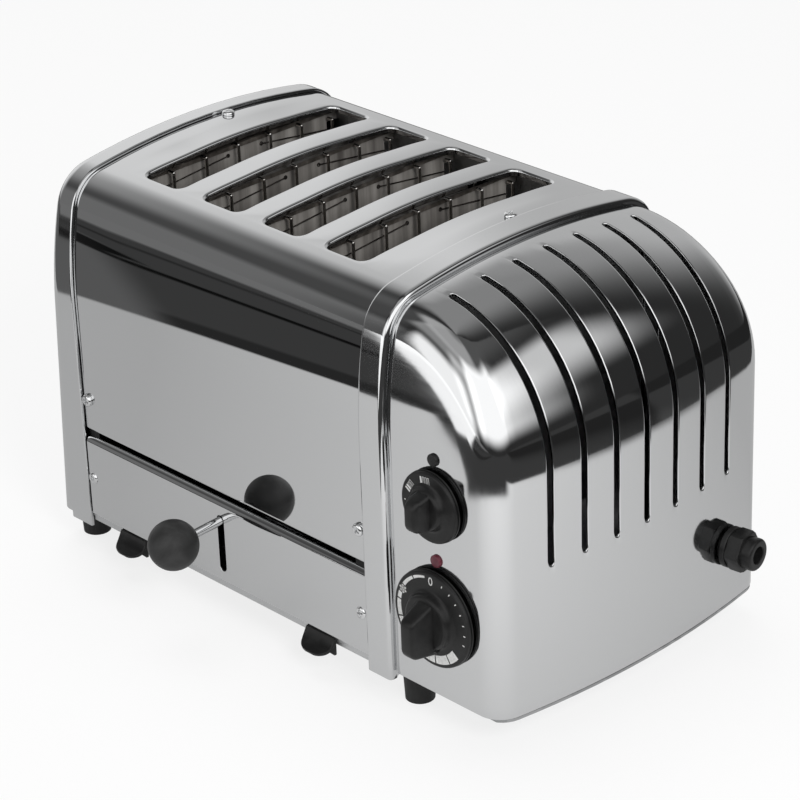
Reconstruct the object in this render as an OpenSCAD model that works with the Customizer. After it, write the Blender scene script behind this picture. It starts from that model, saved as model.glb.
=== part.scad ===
// Four-slot toaster: polished wrap, one domed and one flat end, hand lever, crumb tray and two dials.
// X runs along the front panel, Y to the back, Z up; the origin is on the table, mid-body.

/* [Body] */
// Front to back over the wrap
body_depth = 191; // [180:1:200]
// Height of the wrap's crest above the table
crest = 218.5; // [214:0.5:222]
// Height at which the sides start to lean in, also the height of the dome's axis
shoulder = 142; // [138:1:146]
// Thickness of the wrap, panels and chassis plates
sheet = 1.2; // [1:0.1:1.4]
// Lower edge of the wrap
wrap_bottom = 73; // [70:0.5:76]
// Black gap between the wrap and the lower panels
panel_gap = 5; // [3:0.5:7]
// Lower edge of the lower panels
panel_bottom = 24.2; // [23:0.1:26]
// Radius of the lean of the front and back
side_r = 270; // [240:5:300]
// Radius of the wrap's upper corners
corner_r = 22; // [19:0.5:25]
// Radius of the crowned top
crown_r = 420; // [380:10:460]

/* [Bread slots] */
// Number of bread slots
slot_count = 4; // [4]
// Distance between neighbouring slots
slot_pitch = 44.6; // [43:0.1:47]
// Width of a slot
slot_w = 28; // [26:0.5:29]
// Length of a slot, front to back
slot_len = 130.6; // [124:0.2:136]
// Corner radius of a slot
slot_r = 5; // [3:0.5:8]
// Depth of the turned-down lip round a slot
slot_lip = 3.5; // [2.5:0.5:5]
// From the outermost element to the rim of the cap
end_margin = 17.8; // [16:0.1:20]

/* [End caps] */
// Wall of the end caps
cap_wall = 2.5; // [2:0.1:3]
// How far the cap's surface lies below the wrap's
cap_drop = 1.5; // [1:0.1:2]
// Lower edge of the caps
cap_bottom = 18.5; // [17.5:0.1:19.5]
// Flat width of the rim
rim_w = 13.5; // [11:0.5:15]
// How far the rim stands proud of the wrap
rim_proud = 1.9; // [1.5:0.1:2.3]
// Lower edge of the rim
rim_bottom = 15; // [13:0.5:16.5]
// From the rim's inner edge to the dome axis
dome_setback = 19; // [18:0.5:22]
// From the dome axis to the middle of the end face
dome_len = 76; // [70:1:84]
// Radius of the bow of the domed end face in plan
bow_r = 500; // [400:10:700]
// Corner radius of the domed end face in plan
end_corner_r = 15.5; // [13:0.5:18]
// Number of vents over the dome
vent_count = 7; // [5:1:7]
// Distance between vents
vent_pitch = 20.6; // [18:0.1:21]
// Width of a vent
vent_w = 3.6; // [2.5:0.1:4.5]
// Lower end of the vents
vent_bottom = 93; // [85:1:105]
// Angle of the vents' upper ends above the horizon
vent_top_angle = 85; // [75:1:86]
// From the rim's inner edge to the flat left end, at the shoulder
left_depth = 19.5; // [18:0.5:21]
// Radius of the flat end's edge
left_edge_r = 7; // [5:0.5:8]
// How much the flat end's foot leans outwards, over the height below the shoulder
left_lean = 0.05; // [0.02:0.01:0.06]

/* [Controls] */
// From the rim's inner edge to the dials' centre line
dial_setback = 47; // [42:1:50]
// Height of the timer's axis
timer_z = 62.5; // [60:0.5:65]
// Height of the neon lens
lens_z = 92.2; // [91:0.1:94]
// Height of the selector's axis
selector_z = 121.8; // [119:0.1:124]
// Height of the index plug
plug_z = 145.2; // [143:0.1:148]
// Diameter of the timer's skirt
timer_d = 50; // [44:1:52]
// Diameter of the selector's skirt
selector_d = 36.4; // [32:0.2:40]
// How far the timer's wing stands out from the back of its skirt
timer_out = 20.5; // [18:0.5:23]
// Thickness of the timer's wing
timer_wing_t = 11; // [9:0.5:13]
// How far the selector's wing stands out from the back of its skirt
selector_out = 16; // [14:0.5:18]
// Thickness of the selector's wing
selector_wing_t = 9.5; // [8:0.5:11]
// Diameter of the knob shafts
shaft_d = 6; // [5:0.5:7]
// Diameter of the lens and plug heads
button_d = 6.4; // [5.5:0.1:7]

/* [Lever] */
// Diameter of the ball
ball_d = 26; // [22:1:30]
// Diameter of the polished rod
rod_d = 4.6; // [4:0.1:5]
// From the wrap's front face out to the ball's centre
ball_reach = 32; // [28:1:36]
// Height of the ball's centre at rest
ball_z = 56.3; // [54:0.1:58]
// Height of the lever's pivot
pivot_z = 44.4; // [43:0.1:46]
// From the front face in to the pivot
pivot_setback = 50.5; // [48:0.5:53]
// From the pivot to the lift pin
lift_arm = 70; // [66:1:74]
// Turn of the lever, from rest until its inner arm is level
lever_turn = 13; // [10:1:13]
// Upper end of the lever's slot
lever_slot_top = 60.6; // [60:0.1:62]
// Lower end of the lever's slot
lever_slot_bottom = 28.5; // [27:0.1:29.5]

/* [Toasting chamber] */
// Lower edge of the elements
element_bottom = 82; // [80:1:86]
// From the elements' upper edge to the crest
element_drop = 11; // [10.5:0.5:16]
// Thickness of the mica sheets
mica = 1; // [0.6:0.1:1.2]
// Diameter of the element wire
element_wire_d = 0.9; // [0.6:0.1:1]
// Turns of wire on an element
element_turns = 14; // [8:1:16]
// Diameter of the guard wires
guard_d = 1.8; // [1.4:0.1:2.2]
// Guard wires on each side of a slot
guard_count = 7; // [5:1:8]
// Distance between guard wires
guard_pitch = 22; // [16:0.5:22]
// Height of the bread rack's wires at rest
rack_z = 76.2; // [75:0.1:78]
// Diameter of the rack's wires
rack_wire_d = 2.6; // [2:0.1:3]
// Diameter of the guide rods
guide_d = 6; // [5:0.5:7]

/* [Tray and feet] */
// Thickness of the crumb tray's sheet
tray_sheet = 0.8; // [0.6:0.1:1]
// Width of a tray pull
pull_w = 21; // [16:1:24]
// Distance between the tray pulls
pull_spacing = 144.5; // [120:0.5:160]
// Foot spacing along the body
foot_spacing_x = 250.4; // [244:0.2:260]
// Foot spacing front to back
foot_spacing_y = 160.8; // [150:0.2:164]
// Largest diameter of a foot
foot_d = 16.6; // [14:0.2:18]
// Thickness of the base plate
base_sheet = 1.5; // [1.2:0.1:2]

/* [Cable gland] */
// Distance of the gland behind mid-body
gland_y = 64; // [58:1:66]
// Height of the gland
gland_z = 52; // [46:1:58]
// Diameter of the cable bore
gland_bore_d = 9; // [7:0.5:10]
// Across the corners of the gland's hexagons
gland_hex_d = 22; // [20:0.5:24]

/* [Hidden] */
$fn = 48;
slide_gap = 0.3;
fit_gap = 0.1;
bolt_gap = 0.2;
side_steps = 3;
corner_steps = 7;
crown_steps = 7;
dome_steps = 10;
rim_steps = 5;
rim_edge = 0.6;
side_flat_r = 60000;
reach = 300;

half_depth = body_depth / 2;
rise = crest - shoulder;
wrap_half = slot_pitch * slot_count / 2 + end_margin;
wrap_lap = 6;
wrap_end = wrap_half + wrap_lap;
panel_top = wrap_bottom - panel_gap;
panel_roll = 3;
panel_shelf = 8;
panel_foot = 5;
slot_xs = [for (i = [0:slot_count - 1]) (i - (slot_count - 1) / 2) * slot_pitch];
element_xs = [for (i = [0:slot_count]) (i - slot_count / 2) * slot_pitch];

dome_x = wrap_half + dome_setback;
dome_r = rise - cap_drop;
cap_in = cap_drop + cap_wall;
rim_round = rim_proud + cap_drop;
left_x = wrap_half + left_depth;
left_band = 11;
front_face = -half_depth + cap_drop;
front_wall = front_face + cap_wall;
dial_x = wrap_half + dial_setback;

knob_stand = 1;
timer_skirt = 3.8;
timer_hub_r = 14.5;
timer_hub_h = 8;
timer_foot = [-17, 13];
timer_edge = [-15, 7];
timer_half = 21;
timer_deep = 30;
selector_skirt = 3.4;
selector_hub_r = 11;
selector_hub_h = 7;
selector_foot = [-10.5, 10.5];
selector_edge = [-9, 8];
selector_r = 16;
selector_deep = 24;
shaft_in = 13;

bulkhead_x = wrap_end - 2;
flange_w = 13;
frame_y = slot_len / 2 + 8.4;
chassis_in = sheet + fit_gap;
frame_bottom = panel_bottom + 0.4;
element_top = crest - element_drop;
frame_top = element_top + 1;
tab_h = 6;
tab_gap = 0.2;
wound_half = slot_len / 2 + 1.2;
guard_offset = slot_w / 2 + 2.5;
guard_rail_h = 4;
guard_rail_z = element_bottom - 6;
guard_drop = 9;
guard_hook = 3.5;

screw_head_r = 3.4;
screw_head_h = 2.2;
screw_r = 1.9;
screw_len = 7;
screw_x = wrap_half - 4.1;
upper_screw_z = 90.7;
lower_screw_z = 45.1;
top_screw_y = 10.8;

pivot_y = -half_depth + pivot_setback;
ball_y = -half_depth - ball_reach;
rod_inner_y = -half_depth + 11.5;
rod_inner_z = ball_z + 1.9;
rod_tilt = atan2(rod_inner_z - ball_z, rod_inner_y - ball_y);
rod_r = rod_d / 2;
sleeve_r = rod_r + 1.7;
sleeve_len = 11;
arm_t = 4;
arm_h = 9;
hub_r = 6.5;
hub_half = 3.8;
pivot_r = 3;
lift_pin_r = 2.5;
lift_pin_half = 15;
rest_angle = -lever_turn;
pin_y = pivot_y + lift_arm * cos(rest_angle);
pin_z = pivot_z + lift_arm * sin(rest_angle);
pin_sweep = lift_arm * (1 - cos(rest_angle));
ear_in = hub_half + bolt_gap;
lever_slot_w = rod_d + 0.6;

lift_bar_z = 34;
lift_bar_h = 4;
lift_bar_w = 8;
lift_rail_in = 9.5;
lift_rail_w = 3;
leg_front_y = -30;
leg_rear_y = 40;
guide_y = 2;
guide_x = bulkhead_x - 6;
guide_r = guide_d / 2;
bush_r = guide_r + 1.8;
bush_h = 12;
lug_low_z = panel_bottom + 1.4;
lug_high_z = guard_rail_z + 6;
lug_t = 1.5;
rack_half = slot_len / 2 - 3.3;
rack_gauge = 6;
rack_r = rack_wire_d / 2;

tray_half = wrap_half - 5;
tray_floor = cap_bottom + slide_gap;
tray_rim = panel_bottom - 0.8;
tray_rear = half_depth - 8;
tray_front = -half_depth;
base_half_y = half_depth - cap_in - 0.5;
base_left = left_x + left_lean * (shoulder - cap_bottom) - 1;
base_bottom = cap_bottom - base_sheet;
base_upstand = 5;

gland_drop = bow_r - cap_drop - sqrt(pow(bow_r - cap_drop, 2) - gland_y * gland_y);
gland_x = dome_x + dome_len - gland_drop * dome_len / dome_r;
gland_turn = atan(tan(asin(gland_y / (bow_r - cap_drop))) * dome_len / dome_r);
gland_bore_r = gland_bore_d / 2;
stem_r = 8;
collar_h = 3;
nut_h = 14;
locknut_h = 4;
stem_in = cap_wall + locknut_h + 3;

polished = [0.80, 0.80, 0.80];
satin = [0.70, 0.70, 0.71];
chassis = [0.55, 0.56, 0.57];
black = [0.07, 0.07, 0.07];
mica_brown = [0.36, 0.32, 0.28];

// Points along an arc, without its first one
function turn(c, r, a0, a1, n) =
    [for (i = [1:n]) c + r * [cos(a0 + (a1 - a0) * i / n), sin(a0 + (a1 - a0) * i / n)]];

// The point at r1 from c1 and r2 from c2, on the outer side
function touch(c1, r1, c2, r2) =
    let (d = norm(c2 - c1), u = (c2 - c1) / d, a = (d * d + r1 * r1 - r2 * r2) / (2 * d))
    c1 + a * u + sqrt(r1 * r1 - a * a) * [-u[1], u[0]];

// Half of a cross-section: leaning side, corner and crown, each arc tangent to the next
function half_section(h, top, rs, rc, rt) =
    let (
        side = [h - rs, 0],
        crown = [0, top - rt],
        corner = touch(side, rs - rc, crown, rt - rc),
        a1 = atan2(corner[1] - side[1], corner[0] - side[0]),
        a2 = atan2(corner[1] - crown[1], corner[0] - crown[0]))
    concat(
        [[h, 0]],
        turn(side, rs, 0, a1, side_steps),
        turn(corner, rc, a1, a2, corner_steps),
        turn(crown, rt, a2, 90, crown_steps));

// Both halves, from the back round to the front
function section(h, top, rs, rc, rt) =
    let (half = half_section(h, top, rs, rc, rt), n = len(half))
    concat(half, [for (i = [n - 2:-1:0]) [-half[i][0], half[i][1]]]);

function mixed_r(a, b, k) = 1 / ((1 - k) / a + k / b);

// Cross-section inset by d: k is 1 at the wrap and falls to 0 at the vertical end face
function body_section(d, k) =
    section(
        half_depth - d,
        rise - d,
        mixed_r(side_flat_r, side_r, k) - d,
        end_corner_r + (corner_r - end_corner_r) * k - d,
        mixed_r(bow_r, crown_r, k) - d);

// The wrap's whole outline inset by d, closed along a straight lower edge
function body_outline(d, bottom) =
    concat(
        [[half_depth - d, bottom]],
        [for (p = body_section(d, 1)) [p[0], p[1] + shoulder]],
        [[-half_depth + d, bottom]]);

// The dome's length over its height, inset by d
function dome_ratio(d) = (dome_len + cap_drop - d) / (rise - d);

// Plan of an end cap inset by d
function end_plan(d) = [for (p = body_section(d, 0)) [dome_x + p[1] * dome_ratio(d), p[0]]];

function rounded_rect(w, l, r) =
    let (n = 4)
    concat(
        turn([w / 2 - r, l / 2 - r], r, 0, 90, n),
        turn([-w / 2 + r, l / 2 - r], r, 90, 180, n),
        turn([-w / 2 + r, -l / 2 + r], r, 180, 270, n),
        turn([w / 2 - r, -l / 2 + r], r, 270, 360, n));

module along_x(x0, x1) {
    translate([x0, 0, 0]) rotate([90, 0, 90]) linear_extrude(x1 - x0) children();
}

module along_y(y0, y1) {
    translate([0, y1, 0]) rotate([90, 0, 0]) linear_extrude(y1 - y0) children();
}

// A box from its lowest to its highest corner
module block(low, high) {
    translate(low) cube(high - low);
}

module rod_x(x0, x1, y, z, r) {
    translate([x0, y, z]) rotate([0, 90, 0]) cylinder(h = x1 - x0, r = r);
}

module rod_y(x, y0, y1, z, r) {
    translate([x, y1, z]) rotate([90, 0, 0]) cylinder(h = y1 - y0, r = r);
}

module rod_z(x, y, z0, z1, r) {
    translate([x, y, z0]) cylinder(h = z1 - z0, r = r);
}

module mirror_copy(v) {
    children();
    mirror(v) children();
}

// Wrap and panels

module body_shell(outer, inner, bottom) {
    difference() {
        polygon(body_outline(outer, bottom));
        polygon(body_outline(inner, bottom - 1));
    }
}

module panel_screw_holes(z, y0, y1) {
    for (sx = [-1, 1]) rod_y(sx * screw_x, y0, y1, z, screw_r + bolt_gap);
}

module wrap() {
    color(polished) difference() {
        union() {
            difference() {
                along_x(-wrap_end, wrap_end) body_shell(0, sheet, wrap_bottom);
                for (x = slot_xs) translate([x, 0, shoulder]) linear_extrude(reach)
                    polygon(rounded_rect(slot_w, slot_len, slot_r));
            }
            intersection() {
                along_x(-wrap_end, wrap_end) body_shell(sheet / 2, slot_lip, shoulder);
                for (x = slot_xs) translate([x, 0, shoulder]) linear_extrude(reach) difference() {
                    polygon(rounded_rect(slot_w + 2 * sheet, slot_len + 2 * sheet, slot_r + sheet));
                    polygon(rounded_rect(slot_w, slot_len, slot_r));
                }
            }
            mirror_copy([0, 1, 0]) block(
                [-bulkhead_x + flange_w + 2, -half_depth + sheet / 2, wrap_bottom],
                [bulkhead_x - flange_w - 2, -half_depth + panel_shelf, wrap_bottom + sheet]);
        }
        panel_screw_holes(upper_screw_z, -reach, reach);
        for (sx = [-1, 1]) rod_z(sx * screw_x, top_screw_y, shoulder, reach, screw_r + bolt_gap);
    }
}

// A lower panel's cross-section: plain sheet with a rolled top lip and a turned-in foot
module panel_profile() {
    face = -half_depth;
    axis = [face + panel_roll, panel_top - panel_roll];
    polygon(concat(
        [[face + panel_foot, panel_bottom], [face, panel_bottom], [face, axis[1]]],
        turn(axis, panel_roll, 180, 90, 5),
        [[face + panel_shelf, panel_top], [face + panel_shelf, panel_top - sheet]],
        [[axis[0], panel_top - sheet]],
        turn(axis, panel_roll - sheet, 90, 180, 5),
        [[face + sheet, panel_bottom + sheet], [face + panel_foot, panel_bottom + sheet]]));
}

module lower_panel() {
    inner_half = bulkhead_x - flange_w - 2;
    difference() {
        along_x(-wrap_end, wrap_end) panel_profile();
        for (sx = [-1, 1]) {
            block(
                [min(sx * inner_half, sx * reach), -half_depth + sheet, 0],
                [max(sx * inner_half, sx * reach), 0, panel_top - panel_roll]);
            block(
                [min(sx * inner_half, sx * reach), -half_depth + panel_roll, 0],
                [max(sx * inner_half, sx * reach), 0, reach]);
        }
        panel_screw_holes(lower_screw_z, -reach, 0);
    }
}

module lower_front_panel() {
    r = lever_slot_w / 2;
    color(polished) difference() {
        lower_panel();
        along_y(-half_depth - 1, -half_depth + sheet + 1) union() {
            translate([-r, lever_slot_bottom + r]) square([2 * r, lever_slot_top - lever_slot_bottom - 2 * r]);
            translate([0, lever_slot_bottom + r]) circle(r);
            translate([0, lever_slot_top - r]) circle(r);
        }
    }
}

module lower_back_panel() {
    color(polished) mirror([0, 1, 0]) lower_panel();
}

// End caps

// A quarter-turn dome about the dome axis, lofted between the wrap's section and the end plan
module dome(d) {
    rings = [for (i = [0:dome_steps])
        let (
            a = 90 * i / dome_steps,
            s = body_section(d, pow(sin(a), 2)),
            reach_x = dome_ratio(d) * cos(a))
        [for (j = [1:len(s) - 2]) [dome_x + s[j][1] * reach_x, s[j][0], shoulder + s[j][1] * sin(a)]]];
    m = len(rings[0]);
    back = [dome_x, half_depth - d, shoulder];
    front = [dome_x, -half_depth + d, shoulder];
    points = concat([back, front], [for (ring = rings) each ring]);
    top = 2 + dome_steps * m;
    faces = concat(
        [for (i = [0:dome_steps - 1], j = [0:m - 2], h = [0, 1])
            let (p = 2 + i * m + j)
            h == 0 ? [p, p + 1, p + m + 1] : [p, p + m + 1, p + m]],
        [for (i = [0:dome_steps - 1]) [0, 2 + i * m, 2 + (i + 1) * m]],
        [for (i = [0:dome_steps - 1]) [1, 2 + (i + 1) * m + m - 1, 2 + i * m + m - 1]],
        [concat([1], [for (j = [m - 1:-1:0]) 2 + j], [0])],
        [concat([0], [for (j = [0:m - 1]) top + j], [1])]);
    polyhedron(points, faces);
}

// A loft of the wrap's outline along X: each station has its place, how far it stands proud of the
// wrap, its lower edge and its share of the flat end's lean
module outline_loft(stations) {
    outlines = [for (s = stations) [for (p = body_outline(-s[1], s[2]))
        [s[0] + s[3] * left_lean * (shoulder - p[1]), p[0], p[1]]]];
    m = len(outlines[0]);
    n = len(outlines);
    faces = concat(
        [for (i = [0:n - 2], j = [0:m - 1], h = [0, 1])
            let (p = i * m + j, q = i * m + (j + 1) % m)
            h == 0 ? [p, p + m, q + m] : [p, q + m, q]],
        [[for (j = [0:m - 1]) j]],
        [[for (j = [m - 1:-1:0]) (n - 1) * m + j]]);
    polyhedron([for (o = outlines) each o], faces);
}

// The softened inner edge of a rim
rim_start = [
    [wrap_half, rim_proud - rim_edge, rim_bottom, 0],
    [wrap_half + rim_edge, rim_proud, rim_bottom, 0]];

// A rim: a flat band with a round shoulder down to the cap
module rim() {
    outline_loft(concat(rim_start, [for (i = [0:rim_steps])
        let (a = 90 * (1 - i / rim_steps))
        [wrap_half + rim_w + rim_round * cos(a), rim_round * sin(a) - cap_drop, rim_bottom, 0]]));
}

module cap_solid(d, bottom, neck_x) {
    dome(d);
    translate([0, 0, bottom]) linear_extrude(shoulder - bottom) polygon(end_plan(d));
    along_x(neck_x, dome_x) polygon(body_outline(d, bottom));
}

// A vent's outline in the XZ plane: a band over the dome that runs on down the end face
function vent_band(depth) =
    let (
        n = 16,
        edge = function (r, a) [dome_x + (dome_len + r) * cos(a), shoulder + (dome_r + r) * sin(a)])
    concat(
        [[dome_x + dome_len + depth, vent_bottom]],
        [for (i = [0:n]) edge(depth, vent_top_angle * i / n)],
        [for (i = [n:-1:0]) edge(-depth, vent_top_angle * i / n)],
        [[dome_x + dome_len - depth, vent_bottom]]);

module vents() {
    depth = 16;
    top_x = dome_x + dome_len * cos(vent_top_angle);
    top_z = shoulder + dome_r * sin(vent_top_angle);
    for (i = [0:vent_count - 1]) translate([0, (i - (vent_count - 1) / 2) * vent_pitch, 0]) {
        along_y(-vent_w / 2, vent_w / 2) polygon(vent_band(depth));
        rod_x(dome_x + dome_len - depth, dome_x + dome_len + depth, 0, vent_bottom, vent_w / 2);
        translate([top_x, 0, top_z]) rotate([0, 90 - vent_top_angle, 0])
            translate([0, 0, -depth]) cylinder(h = 2 * depth, r = vent_w / 2);
    }
}

// The domed end: rim, dome and vented end face
module end_cap() {
    difference() {
        union() {
            rim();
            cap_solid(cap_drop, cap_bottom, wrap_end + 1);
        }
        cap_solid(cap_in, 0, wrap_half - 1);
        along_x(wrap_half - 1, wrap_end + fit_gap) polygon(body_outline(-fit_gap, 0));
        vents();
    }
}

// The flat end: a rim whose outer edge rolls over into a plain leaning face
module left_end_cap() {
    band_x = wrap_half + left_band;
    color(satin) mirror([1, 0, 0]) difference() {
        outline_loft(concat(
            rim_start,
            [[band_x, rim_proud, rim_bottom, 0.8], [band_x + 0.1, rim_proud, cap_bottom, 0.8]],
            [for (i = [0:rim_steps])
                let (a = 90 * (1 - i / rim_steps), r = left_edge_r)
                [left_x - r + r * cos(a), rim_proud - r + r * sin(a), cap_bottom, 1]]));
        outline_loft([[wrap_half - 1, -cap_in, 0, 0], [left_x - cap_wall, -cap_in, 0, 1]]);
        along_x(wrap_half - 1, wrap_end + fit_gap) polygon(body_outline(-fit_gap, 0));
    }
}

// Stands the gland's parts on the bowed end face, with Z pointing outwards
module on_end_face() {
    translate([gland_x, gland_y, gland_z]) rotate([0, 90, gland_turn]) children();
}

module right_end_cap() {
    color(satin) difference() {
        end_cap();
        for (z = [timer_z, selector_z])
            rod_y(dial_x, front_face - 5, front_wall + 5, z, shaft_d / 2 + 2 + fit_gap);
        for (z = [lens_z, plug_z])
            rod_y(dial_x, front_face - 5, front_wall + 5, z, button_d / 2 - 0.3);
        on_end_face() translate([0, 0, -20]) cylinder(h = 40, r = stem_r + fit_gap);
    }
}

// Chassis

module base_plate() {
    color(chassis) difference() {
        union() {
            translate([0, 0, base_bottom]) linear_extrude(base_sheet) intersection() {
                union() {
                    translate([-base_left, -base_half_y]) square([base_left + dome_x, 2 * base_half_y]);
                    polygon(end_plan(cap_drop + 1));
                }
                square([2 * reach, 2 * base_half_y], center = true);
            }
            block(
                [-tray_half, base_half_y - sheet, cap_bottom - 0.1],
                [tray_half, base_half_y, cap_bottom + base_upstand]);
        }
        for (sx = [-1, 1], sy = [-1, 1])
            rod_z(sx * foot_spacing_x / 2, sy * foot_spacing_y / 2, 0, reach, screw_r + bolt_gap);
    }
}

module bulkhead() {
    foot_w = 9;
    lug_half = 6;
    color(chassis) difference() {
        union() {
            along_x(bulkhead_x, bulkhead_x + sheet) polygon(body_outline(chassis_in, cap_bottom));
            along_x(bulkhead_x - flange_w, bulkhead_x + 0.1) body_shell(chassis_in, chassis_in + sheet, cap_bottom);
            block(
                [bulkhead_x, -half_depth + 20, cap_bottom],
                [bulkhead_x + sheet + foot_w, half_depth - 20, cap_bottom + sheet]);
            for (z = [lug_low_z, lug_high_z]) block(
                [guide_x - lug_half, guide_y - lug_half, z],
                [bulkhead_x + 0.1, guide_y + lug_half, z + lug_t]);
        }
        along_x(bulkhead_x - flange_w - 1, bulkhead_x) translate([-half_depth, 0]) square(
            [frame_gap(), frame_bottom]);
        mirror_copy([0, 1, 0]) block(
            [bulkhead_x - flange_w - 1, -half_depth, panel_top - panel_roll - slide_gap],
            [bulkhead_x + sheet + 1, -half_depth + panel_roll + slide_gap, panel_top + slide_gap]);
        for (z = [upper_screw_z, lower_screw_z]) rod_y(screw_x, -reach, reach, z, screw_r + bolt_gap);
        rod_z(screw_x, top_screw_y, shoulder, reach, screw_r + bolt_gap);
        rod_z(guide_x, guide_y, lug_low_z - 1, lug_high_z + 5, guide_r + fit_gap / 2);
        rod_x(bulkhead_x - 1, bulkhead_x + sheet + 1, 50, 60, 8);
    }
}

function frame_gap() = half_depth - frame_y;

module left_bulkhead() {
    mirror([1, 0, 0]) bulkhead();
}

module right_bulkhead() {
    bulkhead();
}

// A cross wall of the toasting chamber, with slits for the element tabs
module cross_frame() {
    half = bulkhead_x - slide_gap;
    difference() {
        block([-half, -frame_y - sheet, frame_bottom], [half, -frame_y, frame_top]);
        for (x = element_xs, z = [element_bottom, element_top - tab_h]) block(
            [x - mica / 2 - tab_gap, -frame_y - sheet - 1, z - tab_gap],
            [x + mica / 2 + tab_gap, -frame_y + 1, z + tab_h + tab_gap]);
    }
}

module front_frame() {
    color(chassis) difference() {
        cross_frame();
        block(
            [-arm_t / 2 - 1, -frame_y - sheet - 1, frame_bottom + 5],
            [arm_t / 2 + 1, -frame_y + 1, panel_top - 4]);
    }
}

module rear_frame() {
    color(chassis) mirror([0, 1, 0]) cross_frame();
}

module tray_runners() {
    color(chassis) mirror_copy([1, 0, 0]) block(
        [tray_half + slide_gap, -base_half_y, cap_bottom],
        [tray_half + slide_gap + 2, base_half_y - 2 * sheet, cap_bottom + 3.5]);
}

// Heating elements

// A mica sheet with four corner tabs that sit in the cross walls
module element(x) {
    color(mica_brown) {
        difference() {
            block([x - mica / 2, -frame_y - 3, element_bottom], [x + mica / 2, frame_y + 3, element_top]);
            for (sy = [-1, 1]) block(
                [x - mica, min(sy * wound_half, sy * reach), element_bottom + tab_h],
                [x + mica, max(sy * wound_half, sy * reach), element_top - tab_h]);
        }
    }
}

// One unbroken wire wound round a mica sheet, rising by one step on the far side of each turn
module winding(x) {
    sides = 6;
    r = element_wire_d / 2;
    off = mica / 2 + r + fit_gap;
    step = (element_top - element_bottom - 2 * tab_h - 6) / element_turns;
    start = element_bottom + tab_h + 4;
    corners = [
        [[off, -wound_half], [1, 0], 0],
        [[off, wound_half], [1, 0], 0],
        [[0, wound_half + off], [0, 1], 0.05],
        [[-off, wound_half], [-1, 0], 0.1],
        [[-off, -wound_half], [-1, 0], 0.9],
        [[0, -wound_half - off], [0, -1], 0.95]];
    rings = [for (t = [0:element_turns - 1], c = corners)
        let (at = [x + c[0][0], c[0][1], start + (t + c[2]) * step])
        [for (s = [0:sides - 1])
            at + r * (cos(360 * s / sides) * [c[1][0], c[1][1], 0] + sin(360 * s / sides) * [0, 0, 1])]];
    n = len(rings);
    faces = concat(
        [for (i = [0:n - 2], s = [0:sides - 1], h = [0, 1])
            let (p = i * sides + s, q = i * sides + (s + 1) % sides)
            h == 0 ? [p, p + sides, q + sides] : [p, q + sides, q]],
        [[for (s = [0:sides - 1]) s]],
        [[for (s = [sides - 1:-1:0]) (n - 1) * sides + s]]);
    color("dimgray") polyhedron([for (ring = rings) each ring], faces);
    echo(winding_gap = step * 0.8 - element_wire_d);
}

// Folded strips over the elements' upper edges
module element_clips() {
    wall = 0.8;
    depth = 4;
    color("dimgray") for (x = element_xs) difference() {
        block(
            [x - mica / 2 - fit_gap - wall, -frame_y + slide_gap, element_top - depth],
            [x + mica / 2 + fit_gap + wall, frame_y - slide_gap, element_top + wall]);
        block([x - mica / 2 - fit_gap, -reach, 0], [x + mica / 2 + fit_gap, reach, element_top + fit_gap]);
    }
}

// Guard wires on both sides of a slot, hooked over below the crown and set in a rail at the foot
module guard(x) {
    r = guard_d / 2;
    color("silver") translate([x, 0, 0]) mirror_copy([1, 0, 0]) {
        block(
            [guard_offset - 1, -frame_y + 0.05, guard_rail_z - guard_rail_h],
            [guard_offset + 1, frame_y - 0.05, guard_rail_z]);
        for (i = [0:guard_count - 1]) {
            y = (i - (guard_count - 1) / 2) * guard_pitch;
            top = crest - guard_drop - crown_r + sqrt(crown_r * crown_r - y * y);
            rod_z(guard_offset, y, guard_rail_z - 1, top, r);
            translate([guard_offset, y, top]) sphere(r);
            rod_x(guard_offset, guard_offset + guard_hook, y, top, r);
        }
    }
}

// Lever

module lever_bracket() {
    ear_t = 1.2;
    ear_out = ear_in + ear_t;
    foot_x = 16;
    tail = pivot_y + 7;
    low = pivot_z - 9;
    high = pivot_z + 9;
    color(chassis) difference() {
        mirror_copy([1, 0, 0]) {
            block([ear_in, -frame_y + 0.02, low], [ear_out, tail, high]);
            block([ear_in, -frame_y + 0.02, low], [foot_x, -frame_y + ear_t, high]);
        }
        rod_x(-foot_x, foot_x, pivot_y, pivot_z, pivot_r + fit_gap / 2);
    }
}

module lever_pivot() {
    head = 1.4;
    outer = ear_in + 1.2 + bolt_gap;
    color("silver") {
        rod_x(-outer - head, outer + head, pivot_y, pivot_z, pivot_r);
        mirror_copy([1, 0, 0]) rod_x(outer, outer + head, pivot_y, pivot_z, pivot_r + 1.5);
    }
}

// A flat bar between two points of the YZ plane, with round ends
module bar_2d(a, b, w) {
    translate(a) rotate(atan2(b[1] - a[1], b[0] - a[0])) translate([0, -w / 2]) square([norm(b - a), w]);
    translate(a) circle(w / 2);
    translate(b) circle(w / 2);
}

// Places children along the rod: Z runs from its inner end towards the ball
module along_rod() {
    translate([0, rod_inner_y, rod_inner_z]) rotate([90 + rod_tilt, 0, 0]) children();
}

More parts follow.
